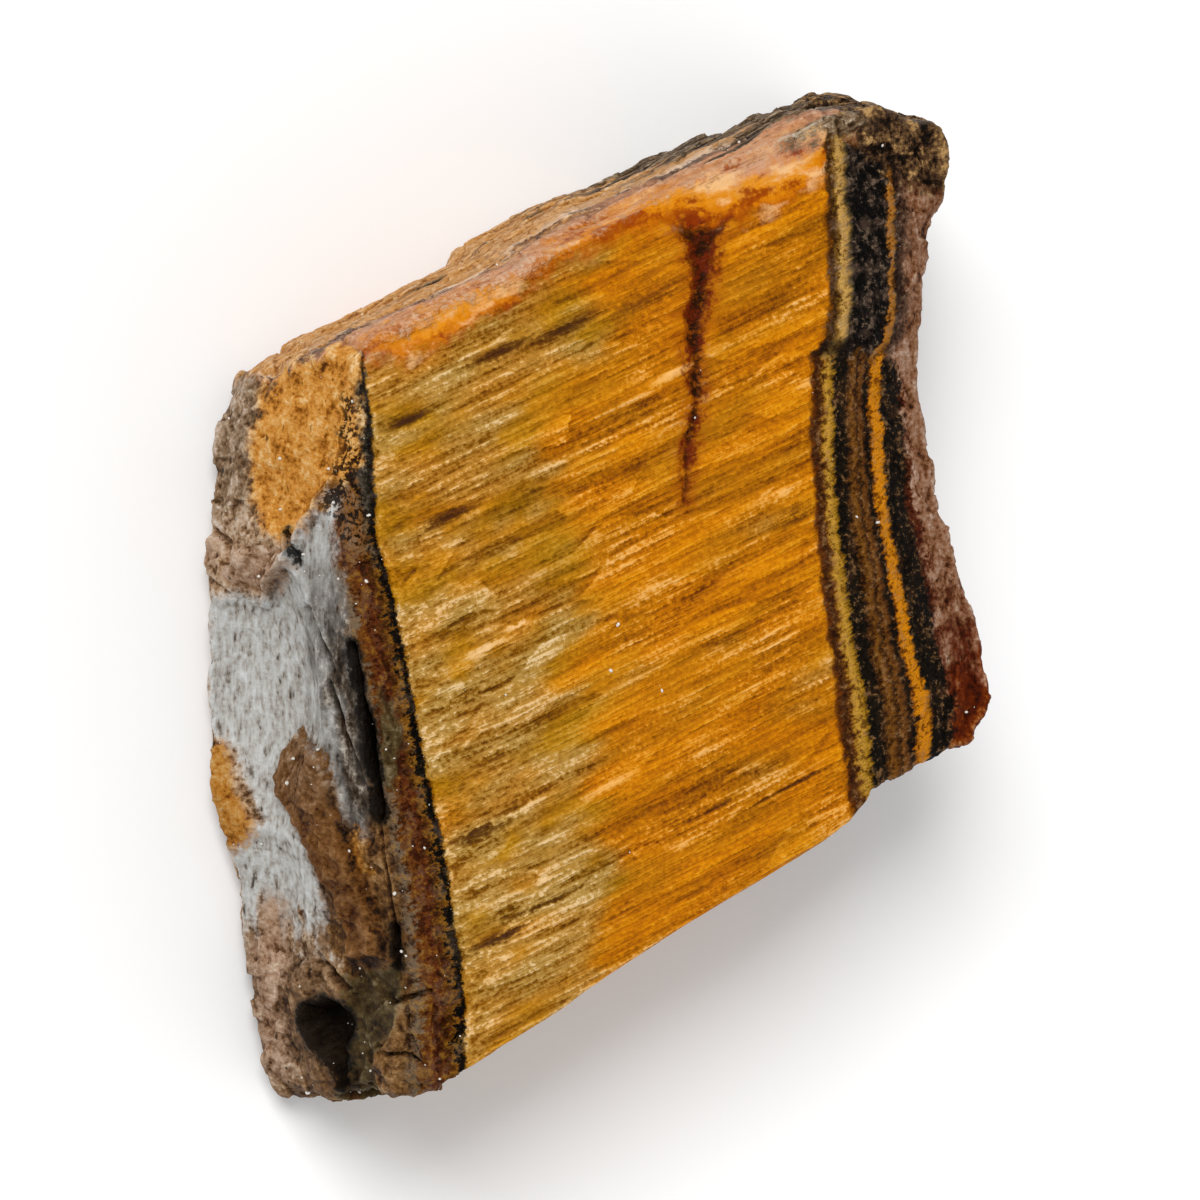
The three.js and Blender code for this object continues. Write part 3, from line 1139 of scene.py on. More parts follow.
def stone_texture() -> bpy.types.NodeTree:
    """Makes the group that works out the stone's noises.

    Returns:
        The group, which takes a place in millimetres and puts out each Noise.
    """

    def body(w: Wiring, given: bpy.types.NodeInputs) -> dict[str, Feed]:
        """Adds two noises along the fibres, and three that don't follow them.

        Args:
            w: The group's wiring.
            given: The group's inputs.

        Returns:
            What feeds each output.
        """
        # a place is multiplied by a noise's number of features to the millimetre on each axis
        place = given["Place"]
        turn = w.add("ShaderNodeVectorRotate", rotation_type="Z_AXIS")
        w.feed(turn.inputs["Vector"], place)
        turn.inputs["Angle"].default_value = -FIBRE_TURN
        lie = turn.outputs[0]
        grain = w.noise(w.vector("MULTIPLY", place, (5.2, 5.2, 3.0)), 3.0, 0.66)
        bend = w.add("ShaderNodeCombineXYZ")
        w.feed(bend.inputs["Y"], w.maths("MULTIPLY", grain, 0.16))
        bent = w.vector("ADD", lie, bend.outputs[0])
        ribs = w.noise(w.vector("MULTIPLY", bent, (0.26, 4.4, 4.4)), 2.0, 0.62)
        hairs = w.noise(w.vector("MULTIPLY", bent, (0.8, 11.0, 11.0)), 1.0, 0.5)
        mottle = w.noise(w.vector("MULTIPLY", place, (1.5, 1.1, 0.8)), 3.0, 0.62)
        dashes = w.noise(w.vector("MULTIPLY", place, (5.5, 1.35, 2.2)), 2.0, 0.55)
        return {
            Noise.GRAIN.value: w.remap(grain, 0.28, 0.72),
            Noise.RIBS.value: w.remap(ribs, 0.27, 0.73),
            Noise.HAIRS.value: w.remap(hairs, 0.25, 0.75),
            Noise.MOTTLE.value: w.remap(mottle, 0.28, 0.72),
            Noise.DASHES.value: w.remap(dashes, 0.22, 0.78),
        }

    outputs = {kind.value: "Float" for kind in Noise}
    return Group("stone texture", {"Place": "Vector"}, outputs).build(body)


def toned() -> bpy.types.NodeTree:
    """Makes the group that weighs two noises into one tone, with painted shade in nooks and painted
    highlight on edges.

    Returns:
        The group.
    """

    def body(w: Wiring, given: bpy.types.NodeInputs) -> dict[str, Feed]:
        """Centres the noises on 0.5, adds them up and adds painted shade from the cavity.

        Args:
            w: The group's wiring.
            given: The group's inputs.

        Returns:
            What feeds the output.
        """
        first = w.maths("MULTIPLY", w.maths("SUBTRACT", given["First"], 0.5), given["First weight"])
        second = w.maths("MULTIPLY", w.maths("SUBTRACT", given["Second"], 0.5), given["Second weight"])
        # painted shade: nooks are darkened and edges lightened by the cavity
        painted_nook_shade_and_edge_light = w.maths("MULTIPLY", given["Cavity"], -0.22)
        return {"Tone": w.maths("ADD", w.total(first, second, painted_nook_shade_and_edge_light), 0.5)}

    names = ("First", "First weight", "Second", "Second weight", "Cavity")
    return Group("toned", {name: "Float" for name in names}, {"Tone": "Float"}).build(body)


# ---- finishes -----------------------------------------------------------------------------------

TONE_STEPS = (0.0, 0.2, 0.36, 0.5, 0.64, 0.82, 1.0)
Tones = tuple[str, str, str, str, str, str, str]


@dataclass(frozen=True)
class Look:
    """What a finish gives at each place.

    Attributes:
        colour: Its colour.
        height: Its fine relief, in millimetres.
        roughness: Its roughness.
    """

    colour: Feed
    height: Feed
    roughness: Feed


@dataclass(frozen=True)
class Cloth:
    """The noises that a material's finishes are cut from, and the helpers that cut them.

    Attributes:
        w: The material's wiring.
        noises: The stone texture group, placed in the material.
        tone: The toned group.
        cavity: How hollow each place is, which darkens nooks as painted shade and lightens edges as
            painted highlight.
    """

    w: Wiring
    noises: bpy.types.Node
    tone: bpy.types.NodeTree
    cavity: Feed

    def get(self, kind: Noise) -> bpy.types.NodeSocket:
        """One of the noises."""
        return self.noises.outputs[kind.value]

    def weigh(self, first: Noise, first_weight: float, second: Noise, second_weight: float) -> Feed:
        """Makes a tone of two noises, with painted shade in nooks and painted highlight on edges.

        Args:
            first: One noise.
            first_weight: How much it counts.
            second: The other noise.
            second_weight: How much that counts.

        Returns:
            The tone, of about 0 to 1.
        """
        node = self.w.call(
            self.tone, First=self.get(first), First_weight=first_weight, Second=self.get(second),
            Second_weight=second_weight, Cavity=self.cavity,
        )
        return node.outputs["Tone"]

    def ragged(self, grain: float, mottle: float) -> Feed:
        """A ragged shift for an edge, in millimetres, made of the grain and the mottling."""
        fine = self.w.remap(self.get(Noise.GRAIN), 0.0, 1.0, -grain, grain)
        return self.w.total(fine, self.w.remap(self.get(Noise.MOTTLE), 0.0, 1.0, -mottle, mottle))

    def past(self, kind: Field, shift: Feed, low: float, high: float) -> Feed:
        """A mask that is 1 where a field is past high, and 0 short of low."""
        return self.w.remap(self.w.maths("ADD", self.w.field(kind), shift), low, high, smooth=True)

    def tinted(self, tone: Feed, tones: Tones) -> Feed:
        """The colour of a tone."""
        return self.w.ramp(tone, tuple(zip(TONE_STEPS, tones)))

    def lay(self, below: Look, above: Look, share: Feed) -> Look:
        """Lays one look over another.

        Args:
            below: The look underneath.
            above: The look on top.
            share: How much of the top one shows.

        Returns:
            The joined look.
        """
        return Look(
            self.w.mix(share, below.colour, above.colour),
            self.w.blend(share, below.height, above.height),
            self.w.blend(share, below.roughness, above.roughness),
        )


@dataclass(frozen=True)
class Massive:
    """A finish of massive rock, such as ironstone or an ochre rind.

    Attributes:
        tones: The colours from its darkest grains to its lightest.
        pit: The colour of its pits.
        pitted: Share of the pits' colour that shows.
        roughness: The shader's roughness.
        broad: The noise that makes its broad tones.
        contrast: How strongly its tones differ.
        grooved: Depth of its pits, in millimetres.
        grainy: How strongly its grains show.
    """

    tones: Tones
    pit: str
    pitted: float
    roughness: float
    broad: Noise = Noise.MOTTLE
    contrast: float = 1.0
    grooved: float = 0.015
    grainy: float = 1.0

    def dress(self, cloth: Cloth) -> Look:
        """Cuts the finish.

        Args:
            cloth: The material's noises.

        Returns:
            The finish's look.
        """
        w = cloth.w
        fine = 0.45 * self.contrast * self.grainy
        tone = cloth.weigh(self.broad, 0.55 * self.contrast, Noise.GRAIN, fine)
        colour = cloth.tinted(tone, self.tones)
        pits = w.remap(cloth.get(Noise.DASHES), 0.2, 0.08, smooth=True)
        colour = w.mix(w.maths("MULTIPLY", pits, self.pitted), colour, srgb(self.pit))
        height = w.total(
            w.maths("MULTIPLY", cloth.get(Noise.GRAIN), 0.07 * self.grainy),
            w.maths("MULTIPLY", cloth.get(Noise.DASHES), self.grooved),
        )
        return Look(colour, height, self.roughness)


@dataclass(frozen=True)
class GoldFibre:
    """The gold fibre band: silky quartz that has grown through fine parallel fibres.

    Attributes:
        orange: Its tones on the bright side of the painted sheen, where the silk leans orange, from the
            darkest.
        olive: Its tones on the dull side of the painted sheen, where the silk leans olive.
        cream: The fibres' broken tips among the olive.
        peach: The fibres' broken tips among the orange.
        tan: The dull tan that broken fibres take on the olive side of the painted sheen.
        shade: The dark smudges.
        roughness: The shader's roughness.
    """

    orange: Tones = ("602a00", "864600", "a45c00", "b86a00", "cc7c00", "de920e", "eaaa4c")
    olive: Tones = ("522e04", "764a00", "8c5e00", "9e6c08", "b07c12", "c29236", "d8b070")
    cream: str = "eccea0"
    peach: str = "eaae62"
    tan: str = "b29456"
    shade: str = "34180a"
    roughness: float = 0.42

    def dress(self, cloth: Cloth) -> Look:
        """Cuts the finish.

        Args:
            cloth: The material's noises.

        Returns:
            The finish's look.
        """
        w = cloth.w
        block = w.field(Field.BLOCK)
        frost = w.field(Field.FROST)
        ribbed = w.remap(frost, 0.0, 1.0, 0.32, 0.58)
        grained = w.remap(frost, 0.0, 1.0, 0.34, 0.5)
        tone = w.total(
            cloth.weigh(Noise.RIBS, ribbed, Noise.GRAIN, grained),
            w.remap(cloth.get(Noise.HAIRS), 0.0, 1.0, -0.11, 0.11),
            w.maths("MULTIPLY", block, 0.16),
            w.maths("MULTIPLY", w.field(Field.DARK), -0.3),
            w.maths("MULTIPLY", w.field(Field.PALE), 0.4),
        )
        # painted sheen: the olive and orange sides follow the line where the silk turns over, shifted by
        # the fibres' own hue
        hue = w.field(Field.HUE)
        turnover = w.total(w.field(Field.SHEEN), w.maths("MULTIPLY", hue, 1.2))
        side = w.remap(turnover, -1.2, 1.2, 0.2, 0.85, smooth=True)
        side = w.maths("MULTIPLY_ADD", hue, 0.4, side, clamp=True)
        colour = w.mix(side, cloth.tinted(tone, self.olive), cloth.tinted(tone, self.orange))
        # on the dull side of the painted sheen, broken fibres turn tan
        painted_dull_sheen_and_frost = w.maths("MULTIPLY", w.maths("MULTIPLY", frost, w.remap(side, 0.0, 0.7, 0.55, 0.0)),
                        w.remap(tone, 0.25, 0.5))
        colour = w.mix(painted_dull_sheen_and_frost, colour, srgb(self.tan))
        frosted = w.maths("MULTIPLY", frost, w.blend(side, 0.65, 0.5))
        frosted = w.maths("MAXIMUM", frosted, w.field(Field.PALE))
        tips = w.maths("MULTIPLY", w.remap(tone, 0.6, 0.84, smooth=True), frosted)
        colour = w.mix(tips, colour, w.mix(side, srgb(self.cream), srgb(self.peach)))
        dark = w.maths("MULTIPLY", w.field(Field.DARK), w.remap(tone, 0.65, 0.3, 0.0, 0.9, smooth=True))
        colour = w.mix(dark, colour, srgb(self.shade))
        height = w.total(
            w.maths("MULTIPLY", cloth.get(Noise.RIBS), 0.08),
            w.maths("MULTIPLY", cloth.get(Noise.HAIRS), 0.022),
            w.maths("MULTIPLY", cloth.get(Noise.GRAIN), 0.025),
        )
        return Look(colour, height, self.roughness)


@dataclass(frozen=True)
class BandedWall:
    """Bands of ironstone side by side.

    Attributes:
        bands: The colours across the wall, over its span.
        span: How far across the wall the first band starts and the last one ends.
        jag: How far the fibres' ends push the bands' edges about.
        fleck: The colour of the flecks in it.
        flecked: Share of the flecks' colour that shows.
        weather_and_highlight: The colour of its patches of weathering, which are partly painted highlights
            on the rough rock.
        weather_and_highlight_share: Share of that colour that shows.
        gap: The colour that its dark gaps are multiplied by.
        gapped: Share of the dark gaps that shows.
        grit: Height of its grain, in millimetres.
        roughness: The shader's roughness.
    """

    bands: Stops
    span: tuple[float, float]
    jag: float = 0.15
    fleck: str = "9a8068"
    flecked: float = 0.4
    weather_and_highlight: str = "6e5c4c"
    weather_and_highlight_share: float = 0.3
    gap: str = "75583f"
    gapped: float = 0.8
    grit: float = 0.08
    roughness: float = 0.4

    def dress(self, cloth: Cloth, reach: Feed) -> Look:
        """Cuts the finish.

        Args:
            cloth: The material's noises.
            reach: How far across the wall each place is.

        Returns:
            The finish's look.
        """
        w = cloth.w
        ragged = w.total(
            reach,
            w.remap(cloth.get(Noise.RIBS), 0.0, 1.0, -self.jag, self.jag),
            w.remap(cloth.get(Noise.GRAIN), 0.0, 1.0, -0.5 * self.jag, 0.5 * self.jag),
        )
        colour = w.ramp(w.remap(ragged, *self.span), self.bands)
        tone = cloth.weigh(Noise.GRAIN, 0.75, Noise.MOTTLE, 0.35)
        flecks = w.remap(tone, 0.58, 0.9, 0.0, self.flecked, smooth=True)
        colour = w.mix(flecks, colour, srgb(self.fleck))
        # patches of weathering, partly painted highlights on the rough bands
        weather_and_highlight_share = w.remap(cloth.get(Noise.MOTTLE), 0.5, 0.85, 0.0, self.weather_and_highlight_share)
        colour = w.mix(weather_and_highlight_share, colour, srgb(self.weather_and_highlight))
        gaps = w.remap(tone, 0.5, 0.22, 0.0, self.gapped, smooth=True)
        colour = w.mix(gaps, colour, srgb(self.gap), "MULTIPLY")
        height = w.total(
            w.maths("MULTIPLY", cloth.get(Noise.GRAIN), self.grit),
            w.maths("MULTIPLY", cloth.get(Noise.HAIRS), 0.03),
            w.maths("MULTIPLY", cloth.get(Noise.MOTTLE), self.grit),
        )
        return Look(colour, height, self.roughness)


# where the bands beside each wall start and end, going outward from it
RIGHT_SPAN = (-1.0, 5.2)
LEFT_SPAN = (0.0, 3.2)

RIGHT_LOWER = BandedWall(
    (
        (0.0, "8a4c02"), (0.06, "6a3404"), (0.105, "341804"), (0.14, "5e3408"), (0.16, "a0701e"),
        (0.185, "c09034"), (0.225, "a07416"), (0.25, "100a04"), (0.34, "181006"), (0.37, "4a2a0c"),
        (0.41, "744812"), (0.435, "5a340c"), (0.46, "2a1808"), (0.48, "6c4010"), (0.51, "5a3410"),
        (0.535, "140c04"), (0.565, "1c1006"), (0.59, "985602"), (0.605, "c87c06"), (0.67, "ce8006"),
        (0.70, "100a04"), (0.88, "140d06"), (0.92, "4e200a"), (1.0, "4a1602"),
    ),
    span=RIGHT_SPAN, jag=0.17, fleck="a0764a", flecked=0.5, weather_and_highlight="5c3a20", weather_and_highlight_share=0.2,
)
RIGHT_UPPER = BandedWall(
    (
        (0.0, "94560a"), (0.05, "6a3e0c"), (0.10, "382006"), (0.135, "7a5418"), (0.16, "c89c50"),
        (0.20, "b48a46"), (0.225, "5a4a2a"), (0.25, "0c0806"), (0.50, "0a0705"), (0.53, "241509"),
        (0.55, "aa6c22"), (0.58, "94601e"), (0.60, "20120a"), (0.65, "442c1e"), (0.72, "6c4c38"),
        (0.82, "84604a"), (1.0, "8c6850"),
    ),
    span=RIGHT_SPAN, weather_and_highlight="705848", weather_and_highlight_share=0.28,
)
CRUST_LAYERS = BandedWall(
    (
        (0.0, "cc7c30"), (0.12, "c88450"), (0.25, "c08a66"), (0.32, "aa7858"), (0.36, "866048"),
        (0.40, "644838"), (0.45, "6a4e3c"), (0.48, "dcc0a4"), (0.53, "cca27a"), (0.60, "c08c52"),
        (0.80, "c08e5c"), (0.92, "9e7246"), (1.0, "906a44"),
    ),
    span=(-0.2, 3.0), jag=0.15, fleck="ecd4b8", flecked=0.35, weather_and_highlight="94765c", weather_and_highlight_share=0.3,
    gapped=0.4, grit=0.04,
)
LEFT_LOWER = BandedWall(
    (
        (0.0, "0c0803"), (0.11, "120b05"), (0.15, "7a4c10"), (0.20, "4a2a0a"), (0.30, "5a280c"),
        (0.46, "663a10"), (0.52, "6e5c48"), (0.66, "705c48"), (0.72, "523016"), (1.0, "64442c"),
    ),
    span=LEFT_SPAN, jag=0.3, fleck="a0701e", flecked=0.5,
)
LEFT_UPPER = BandedWall(
    ((0.0, "120d08"), (0.09, "241e16"), (0.17, "40382c"), (0.22, "80501a"), (1.0, "6e4a20")),
    span=LEFT_SPAN, fleck="807664",
)

OCHRE_RIND = Massive(
    ("5c2e04", "8c520e", "b4742a", "c88634", "d09448", "daa864", "e6c08c"), "4e2a04", 0.8, 0.85,
    contrast=1.25,
)
GREY_SHELL = Massive(
    ("463c32", "766e64", "a09b94", "b4b2ad", "bebebb", "cccece", "e0e1e1"), "3c332a", 0.8, 0.5,
    Noise.DASHES, contrast=1.15, grooved=0.06, grainy=0.4,
)
# a darker copy of the grey shell, for painted shade and darker rock beside the gap
GREY_SHADE_AND_DARK_ROCK = Massive(
    ("0c0603", "160d06", "261a10", "382b1e", "52463a", "82776a", "b0a698"), "0c0704", 0.85, 0.5,
    Noise.DASHES,
)
BROWN_PLATE = Massive(
    ("2a1406", "46260e", "5c3c1c", "6a4a2b", "785738", "88684c", "a2846a"), "24140a", 0.7, 0.6,
    contrast=1.2,
)
IRONSTONE = Massive(
    ("3a2412", "5e4228", "866648", "a38464", "b69a7e", "c8b29c", "dccabc"), "2a1808", 0.85, 0.6,
    contrast=1.25,
)
PINK_STONE = Massive(
    ("3a2010", "6a4a32", "8c6a50", "9e7e64", "ac8e76", "bca088", "d0bca8"), "2a160a", 0.85, 0.6,
)
DARK_WALL = Massive(
    ("0e0803", "26160a", "442a14", "583a1c", "6e4c28", "8c6840", "aa885e"), "0e0803", 0.85, 0.5,
)
MOSSY_FLOOR = Massive(
    ("120a03", "261908", "362712", "423219", "4e3f22", "625238", "827254"), "120a04", 0.7, 0.55,
)
PINK_WALL = Massive(
    ("140803", "3c1e0c", "623a20", "7c5236", "8e664c", "9e7c66", "b69a86"), "140a03", 0.85, 0.5,
    contrast=1.2,
)
RED_WALL = Massive(
    ("1a0500", "340d00", "481400", "541a00", "622400", "864210", "b07c48"), "140602", 0.8, 0.45,
)
AMBER_CRUST = Massive(
    ("5a2c0e", "8a5020", "ac7434", "c0884a", "cc985e", "d8ac7c", "e6c49e"), "3c1c08", 0.75, 0.45,
    Noise.RIBS,
)
GREY_CRUST = Massive(
    ("080402", "1c1208", "342414", "503c26", "6a543c", "907a60", "c0ae98"), "080402", 0.9, 0.5,
    Noise.RIBS,
)
KNOB_ROCK = Massive(
    ("060302", "120a05", "28190d", "442e1c", "5c4228", "7e5e3a", "b08a56"), "060302", 0.9, 0.5,
    contrast=1.5,
)


@dataclass
class StoneFinish:
    """The stone's whole finish: the vein, its walls, the crust and the breaks in one material.

    Attributes:
        gold: The finish of the gold fibre band.
        specular: The shader's specular level, which is low because the stone is dulled by weathering.
        jump: Where the right wall's bands jump sideways, up the sheet, from start to end.
        seam: The colour of the seam where they jump.
        stain_halo: The colour round the stain.
        stain_core: The stain's colour, from its darkest to its lightest.
        waxy: The belt's colours as it gives way to the crust.
        wax_pale_and_highlight: The pale wax in the belt, partly a painted highlight on its rounded rim.
        wax_red: The red wax in it.
        wax_roughness: The belt's roughness.
        rind_tint: What the ochre rind low on the flank is multiplied by.
        plate_tint: What the lower end of the brown plate is multiplied by.
        hole_shade_and_speck: The painted shade of holes and gaps, and the colour of the black specks.
    """

    gold: GoldFibre = field(default_factory=GoldFibre)
    specular: float = 0.045
    jump: tuple[float, float] = (10.0, 10.9)
    seam: str = "120905"
    stain_halo: str = "904000"
    stain_core: tuple[str, str] = ("0e0300", "5e1800")
    waxy: Stops = (
        (0.0, "ae6000"), (0.12, "a24a00"), (0.25, "c06600"), (0.45, "d8840c"), (0.65, "dc9030"),
        (0.8, "cc8c5c"), (1.0, "ca9c7e"),
    )
    wax_pale_and_highlight: str = "f4c890"
    wax_red: str = "822000"
    wax_roughness: float = 0.3
    rind_tint: str = "dedcd6"
    plate_tint: str = "e8d2a8"
    hole_shade_and_speck: str = "0a0502"

    def build(self) -> bpy.types.Material:
        """Makes the material.

        Returns:
            The material, which reads the stone's fields.
        """
        material = bpy.data.materials.new("tigers_eye")
        material.use_nodes = True
        material.node_tree.nodes.clear()
        w = Wiring(material.node_tree)
        place = w.vector(
            "MULTIPLY_ADD", w.add("ShaderNodeTexCoord").outputs["Object"],
            (1.0 / MM,) * 3, tuple(SHEET_ZERO),
        )
        cloth = Cloth(w, w.call(stone_texture(), Place=place), toned(), w.field(Field.CAVITY))

        look = self.gold.dress(cloth)
        look = self.stain(cloth, look)
        look = self.belt(cloth, look)
        look = self.right_wall(cloth, look, place)
        look = self.left_wall(cloth, look, place)
        look = self.crust(cloth, look)
        look = self.flank(cloth, look, place)

        shader = w.add("ShaderNodeBsdfPrincipled")
        w.feed(shader.inputs["Base Color"], look.colour)
        w.feed(shader.inputs["Roughness"], look.roughness)
        shader.inputs["Specular IOR Level"].default_value = self.specular
        bump = w.add("ShaderNodeBump")
        w.feed(bump.inputs["Height"], look.height)
        bump.inputs["Distance"].default_value = MM
        bump.inputs["Strength"].default_value = 1.0
        w.feed(shader.inputs["Normal"], bump.outputs[0])
        w.feed(w.add("ShaderNodeOutputMaterial").inputs["Surface"], shader.outputs[0])
        return material

    @staticmethod
    def height_up(w: Wiring, place: Feed, low: float, high: float) -> Feed:
        """Masks the part of the sheet that is further up than a level.

        Args:
            w: The material's wiring.
            place: The place on the sheet.
            low: Where the mask is 0.
            high: Where it is 1.

        Returns:
            The mask.
        """
        parts = w.add("ShaderNodeSeparateXYZ")
        w.feed(parts.inputs[0], place)
        return w.remap(parts.outputs["Y"], low, high, smooth=True)

    def stain(self, cloth: Cloth, look: Look) -> Look:
        """Soaks the iron stain into the gold.

        Args:
            cloth: The material's noises.
            look: The look so far.

        Returns:
            The new look.
        """
        w = cloth.w
        core = cloth.past(Field.STAIN, cloth.ragged(0.3, 0.35), -0.3, 0.3)
        halo = cloth.past(Field.STAIN, cloth.ragged(0.35, 0.3), -0.7, 0.15)
        tone = cloth.weigh(Noise.MOTTLE, 0.6, Noise.GRAIN, 0.4)
        dark = w.mix(w.remap(tone, 0.36, 0.66), *map(srgb, self.stain_core))
        colour = w.mix(w.maths("MULTIPLY", halo, 0.75), look.colour, srgb(self.stain_halo))
        colour = w.mix(w.maths("MULTIPLY", core, 0.95), colour, dark)
        return Look(colour, look.height, look.roughness)

    def belt(self, cloth: Cloth, look: Look) -> Look:
        """Turns the gold waxy orange and pink along its rounded upper rim.

        Args:
            cloth: The material's noises.
            look: The look so far.

        Returns:
            The new look.
        """
        w = cloth.w
        reach = w.total(w.field(Field.BELT), cloth.ragged(0.1, 0.45))
        tint = w.ramp(w.remap(reach, -0.3, 2.3), self.waxy)
        waxy = w.total(w.field(Field.WAX), cloth.ragged(0.25, 0.0))
        # pale wax, partly a painted highlight on the rounded rim
        tint = w.mix(w.remap(waxy, 0.1, 0.8, 0.0, 0.7, smooth=True), tint, srgb(self.wax_pale_and_highlight))
        tint = w.mix(w.remap(waxy, -0.05, -0.6, 0.0, 0.85, smooth=True), tint, srgb(self.wax_red))
        share = w.remap(reach, -0.5, 0.6, 0.0, 0.9, smooth=True)
        height = w.maths("MULTIPLY", look.height, 0.6)
        return cloth.lay(look, Look(tint, height, self.wax_roughness), share)

    def right_wall(self, cloth: Cloth, look: Look, place: Feed) -> Look:
        """Lays the right wall's bands beside the gold, then the massive rock beyond them.

        Args:
            cloth: The material's noises.
            look: The look so far.
            place: The place on the sheet.

        Returns:
            The new look.
        """
        w = cloth.w
        reach = w.field(Field.RIGHT_WALL)
        upper = self.height_up(w, w.vector("ADD", place, self.mottled(cloth, 0.5)), *self.jump)
        bands = cloth.lay(RIGHT_LOWER.dress(cloth, reach), RIGHT_UPPER.dress(cloth, reach), upper)
        seam = w.maths(
            "MULTIPLY", self.height_up(w, place, 10.1, 10.6), self.height_up(w, place, 11.3, 10.9)
        )
        inner = cloth.past(Field.RIGHT_WALL, cloth.ragged(0.2, 0.2), 1.2, 0.8)
        seam = w.maths("MULTIPLY", w.maths("MULTIPLY", seam, inner), 0.85)
        bands = Look(w.mix(seam, bands.colour, srgb(self.seam)), bands.height, bands.roughness)
        tipped = w.vector("ADD", place, self.sloping(w, place, 13.0, -0.75))
        pink = self.height_up(w, w.vector("ADD", tipped, self.mottled(cloth, 3.0)), -4.0, 1.0)
        rock = cloth.lay(RED_WALL.dress(cloth), PINK_WALL.dress(cloth), pink)
        bands = cloth.lay(bands, rock, cloth.past(Field.ROCK, cloth.ragged(0.2, 0.4), -0.15, 0.3))
        share = cloth.past(Field.RIGHT_WALL, cloth.ragged(0.1, 0.2), -0.75, -0.5)
        return cloth.lay(look, bands, share)

    @staticmethod
    def sloping(w: Wiring, place: Feed, top: float, slope: float) -> Feed:
        """Makes a shift up the sheet that grows with depth.

        Args:
            w: The material's wiring.
            place: The place in the stone.
            top: Height under which the shift starts.
            slope: How much it grows for each millimetre below that.

        Returns:
            The shift.
        """
        parts = w.add("ShaderNodeSeparateXYZ")
        w.feed(parts.inputs[0], place)
        below = w.maths("MAXIMUM", w.maths("SUBTRACT", top, parts.outputs["Z"]), 0.0)
        shift = w.add("ShaderNodeCombineXYZ")
        w.feed(shift.inputs["Y"], w.maths("MULTIPLY", below, slope))
        return shift.outputs[0]

    @staticmethod
    def mottled(cloth: Cloth, size: float) -> Feed:
        """Makes a shift up or down the sheet from the mottling.

        Args:
            cloth: The material's noises.
            size: The most that it shifts a place by.

        Returns:
            The shift.
        """
        shift = cloth.w.add("ShaderNodeCombineXYZ")
        cloth.w.feed(shift.inputs["Y"], cloth.w.remap(cloth.get(Noise.MOTTLE), 0.0, 1.0, -size, size))
        return shift.outputs[0]

    def left_wall(self, cloth: Cloth, look: Look, place: Feed) -> Look:
        """Lays the left wall's bands beside the gold.

        Args:
            cloth: The material's noises.
            look: The look so far.
            place: The place on the sheet.

        Returns:
            The new look.
        """
        w = cloth.w
        reach = w.maths("MULTIPLY", w.field(Field.LEFT_WALL), -1.0)
        upper = self.height_up(w, w.vector("ADD", place, self.mottled(cloth, 1.0)), 1.5, 3.5)
        bands = cloth.lay(LEFT_LOWER.dress(cloth, reach), LEFT_UPPER.dress(cloth, reach), upper)
        share = w.remap(w.total(reach, cloth.ragged(0.12, 0.05)), -0.02, 0.1, smooth=True)
        return cloth.lay(look, bands, share)

    def crust(self, cloth: Cloth, look: Look) -> Look:
        """Lays the crust, dulled by weathering, over the vein's upper end.

        Args:
            cloth: The material's noises.
            look: The look so far.

        Returns:
            The new look.
        """
        w = cloth.w
        amber = w.remap(w.total(w.field(Field.AMBER), cloth.ragged(0.3, 0.3)), 0.2, 0.8)
        grey = w.remap(w.total(w.field(Field.GREY), cloth.ragged(0.35, 0.25)), 0.25, 0.75)
        rock = CRUST_LAYERS.dress(cloth, w.field(Field.CRUST))
        rock = cloth.lay(rock, AMBER_CRUST.dress(cloth), amber)
        rock = cloth.lay(rock, GREY_CRUST.dress(cloth), grey)
        knob = cloth.past(Field.RIGHT_WALL, cloth.ragged(0.3, 0.6), 0.3, 1.8)
        rock = cloth.lay(rock, KNOB_ROCK.dress(cloth), knob)
        ribbed = w.total(rock.height, w.maths("MULTIPLY", cloth.get(Noise.RIBS), 0.09))
        rock = Look(rock.colour, ribbed, rock.roughness)
        return cloth.lay(look, rock, cloth.past(Field.CRUST, cloth.ragged(0.25, 0.4), -0.35, 0.4))

    @staticmethod
    def dulled(w: Wiring, look: Look, tint: str, share: Feed) -> Look:
        """Tints a look's colour.

        Args:
            w: The material's wiring.
            look: The look.
            tint: The colour that it is multiplied by.
            share: How much of the tint shows.

        Returns:
            The tinted look.
        """
        return Look(w.mix(share, look.colour, srgb(tint), "MULTIPLY"), look.height, look.roughness)

    def flank_rock(self, cloth: Cloth, place: Feed, ragged: Feed) -> Look:
        """Makes the left flank's bare rock: darker low down, greyer at the upper corner.

        Args:
            cloth: The material's noises.
            place: The place on the sheet.
            ragged: A ragged shift for its edges.

        Returns:
            The rock's look.
        """
        w = cloth.w
        low = self.height_up(w, place, -13.0, -16.5)
        close = w.remap(w.total(w.field(Field.LEFT_WALL), ragged), -4.6, -3.6, smooth=True)
        close = w.maths("MULTIPLY", close, self.height_up(w, place, -7.0, -9.5))
        dark = w.maths("MAXIMUM", w.maths("MULTIPLY", low, 0.85), close)
        rock = cloth.lay(IRONSTONE.dress(cloth), DARK_WALL.dress(cloth), dark)
        high = w.remap(w.total(self.height_up(w, place, 1.5, 4.5), ragged), 0.6, 1.1, smooth=True)
        high = w.maths("MULTIPLY", high, w.remap(cloth.get(Noise.MOTTLE), 0.35, 0.75, 0.75, 0.15))
        return cloth.lay(rock, GREY_CRUST.dress(cloth), high)

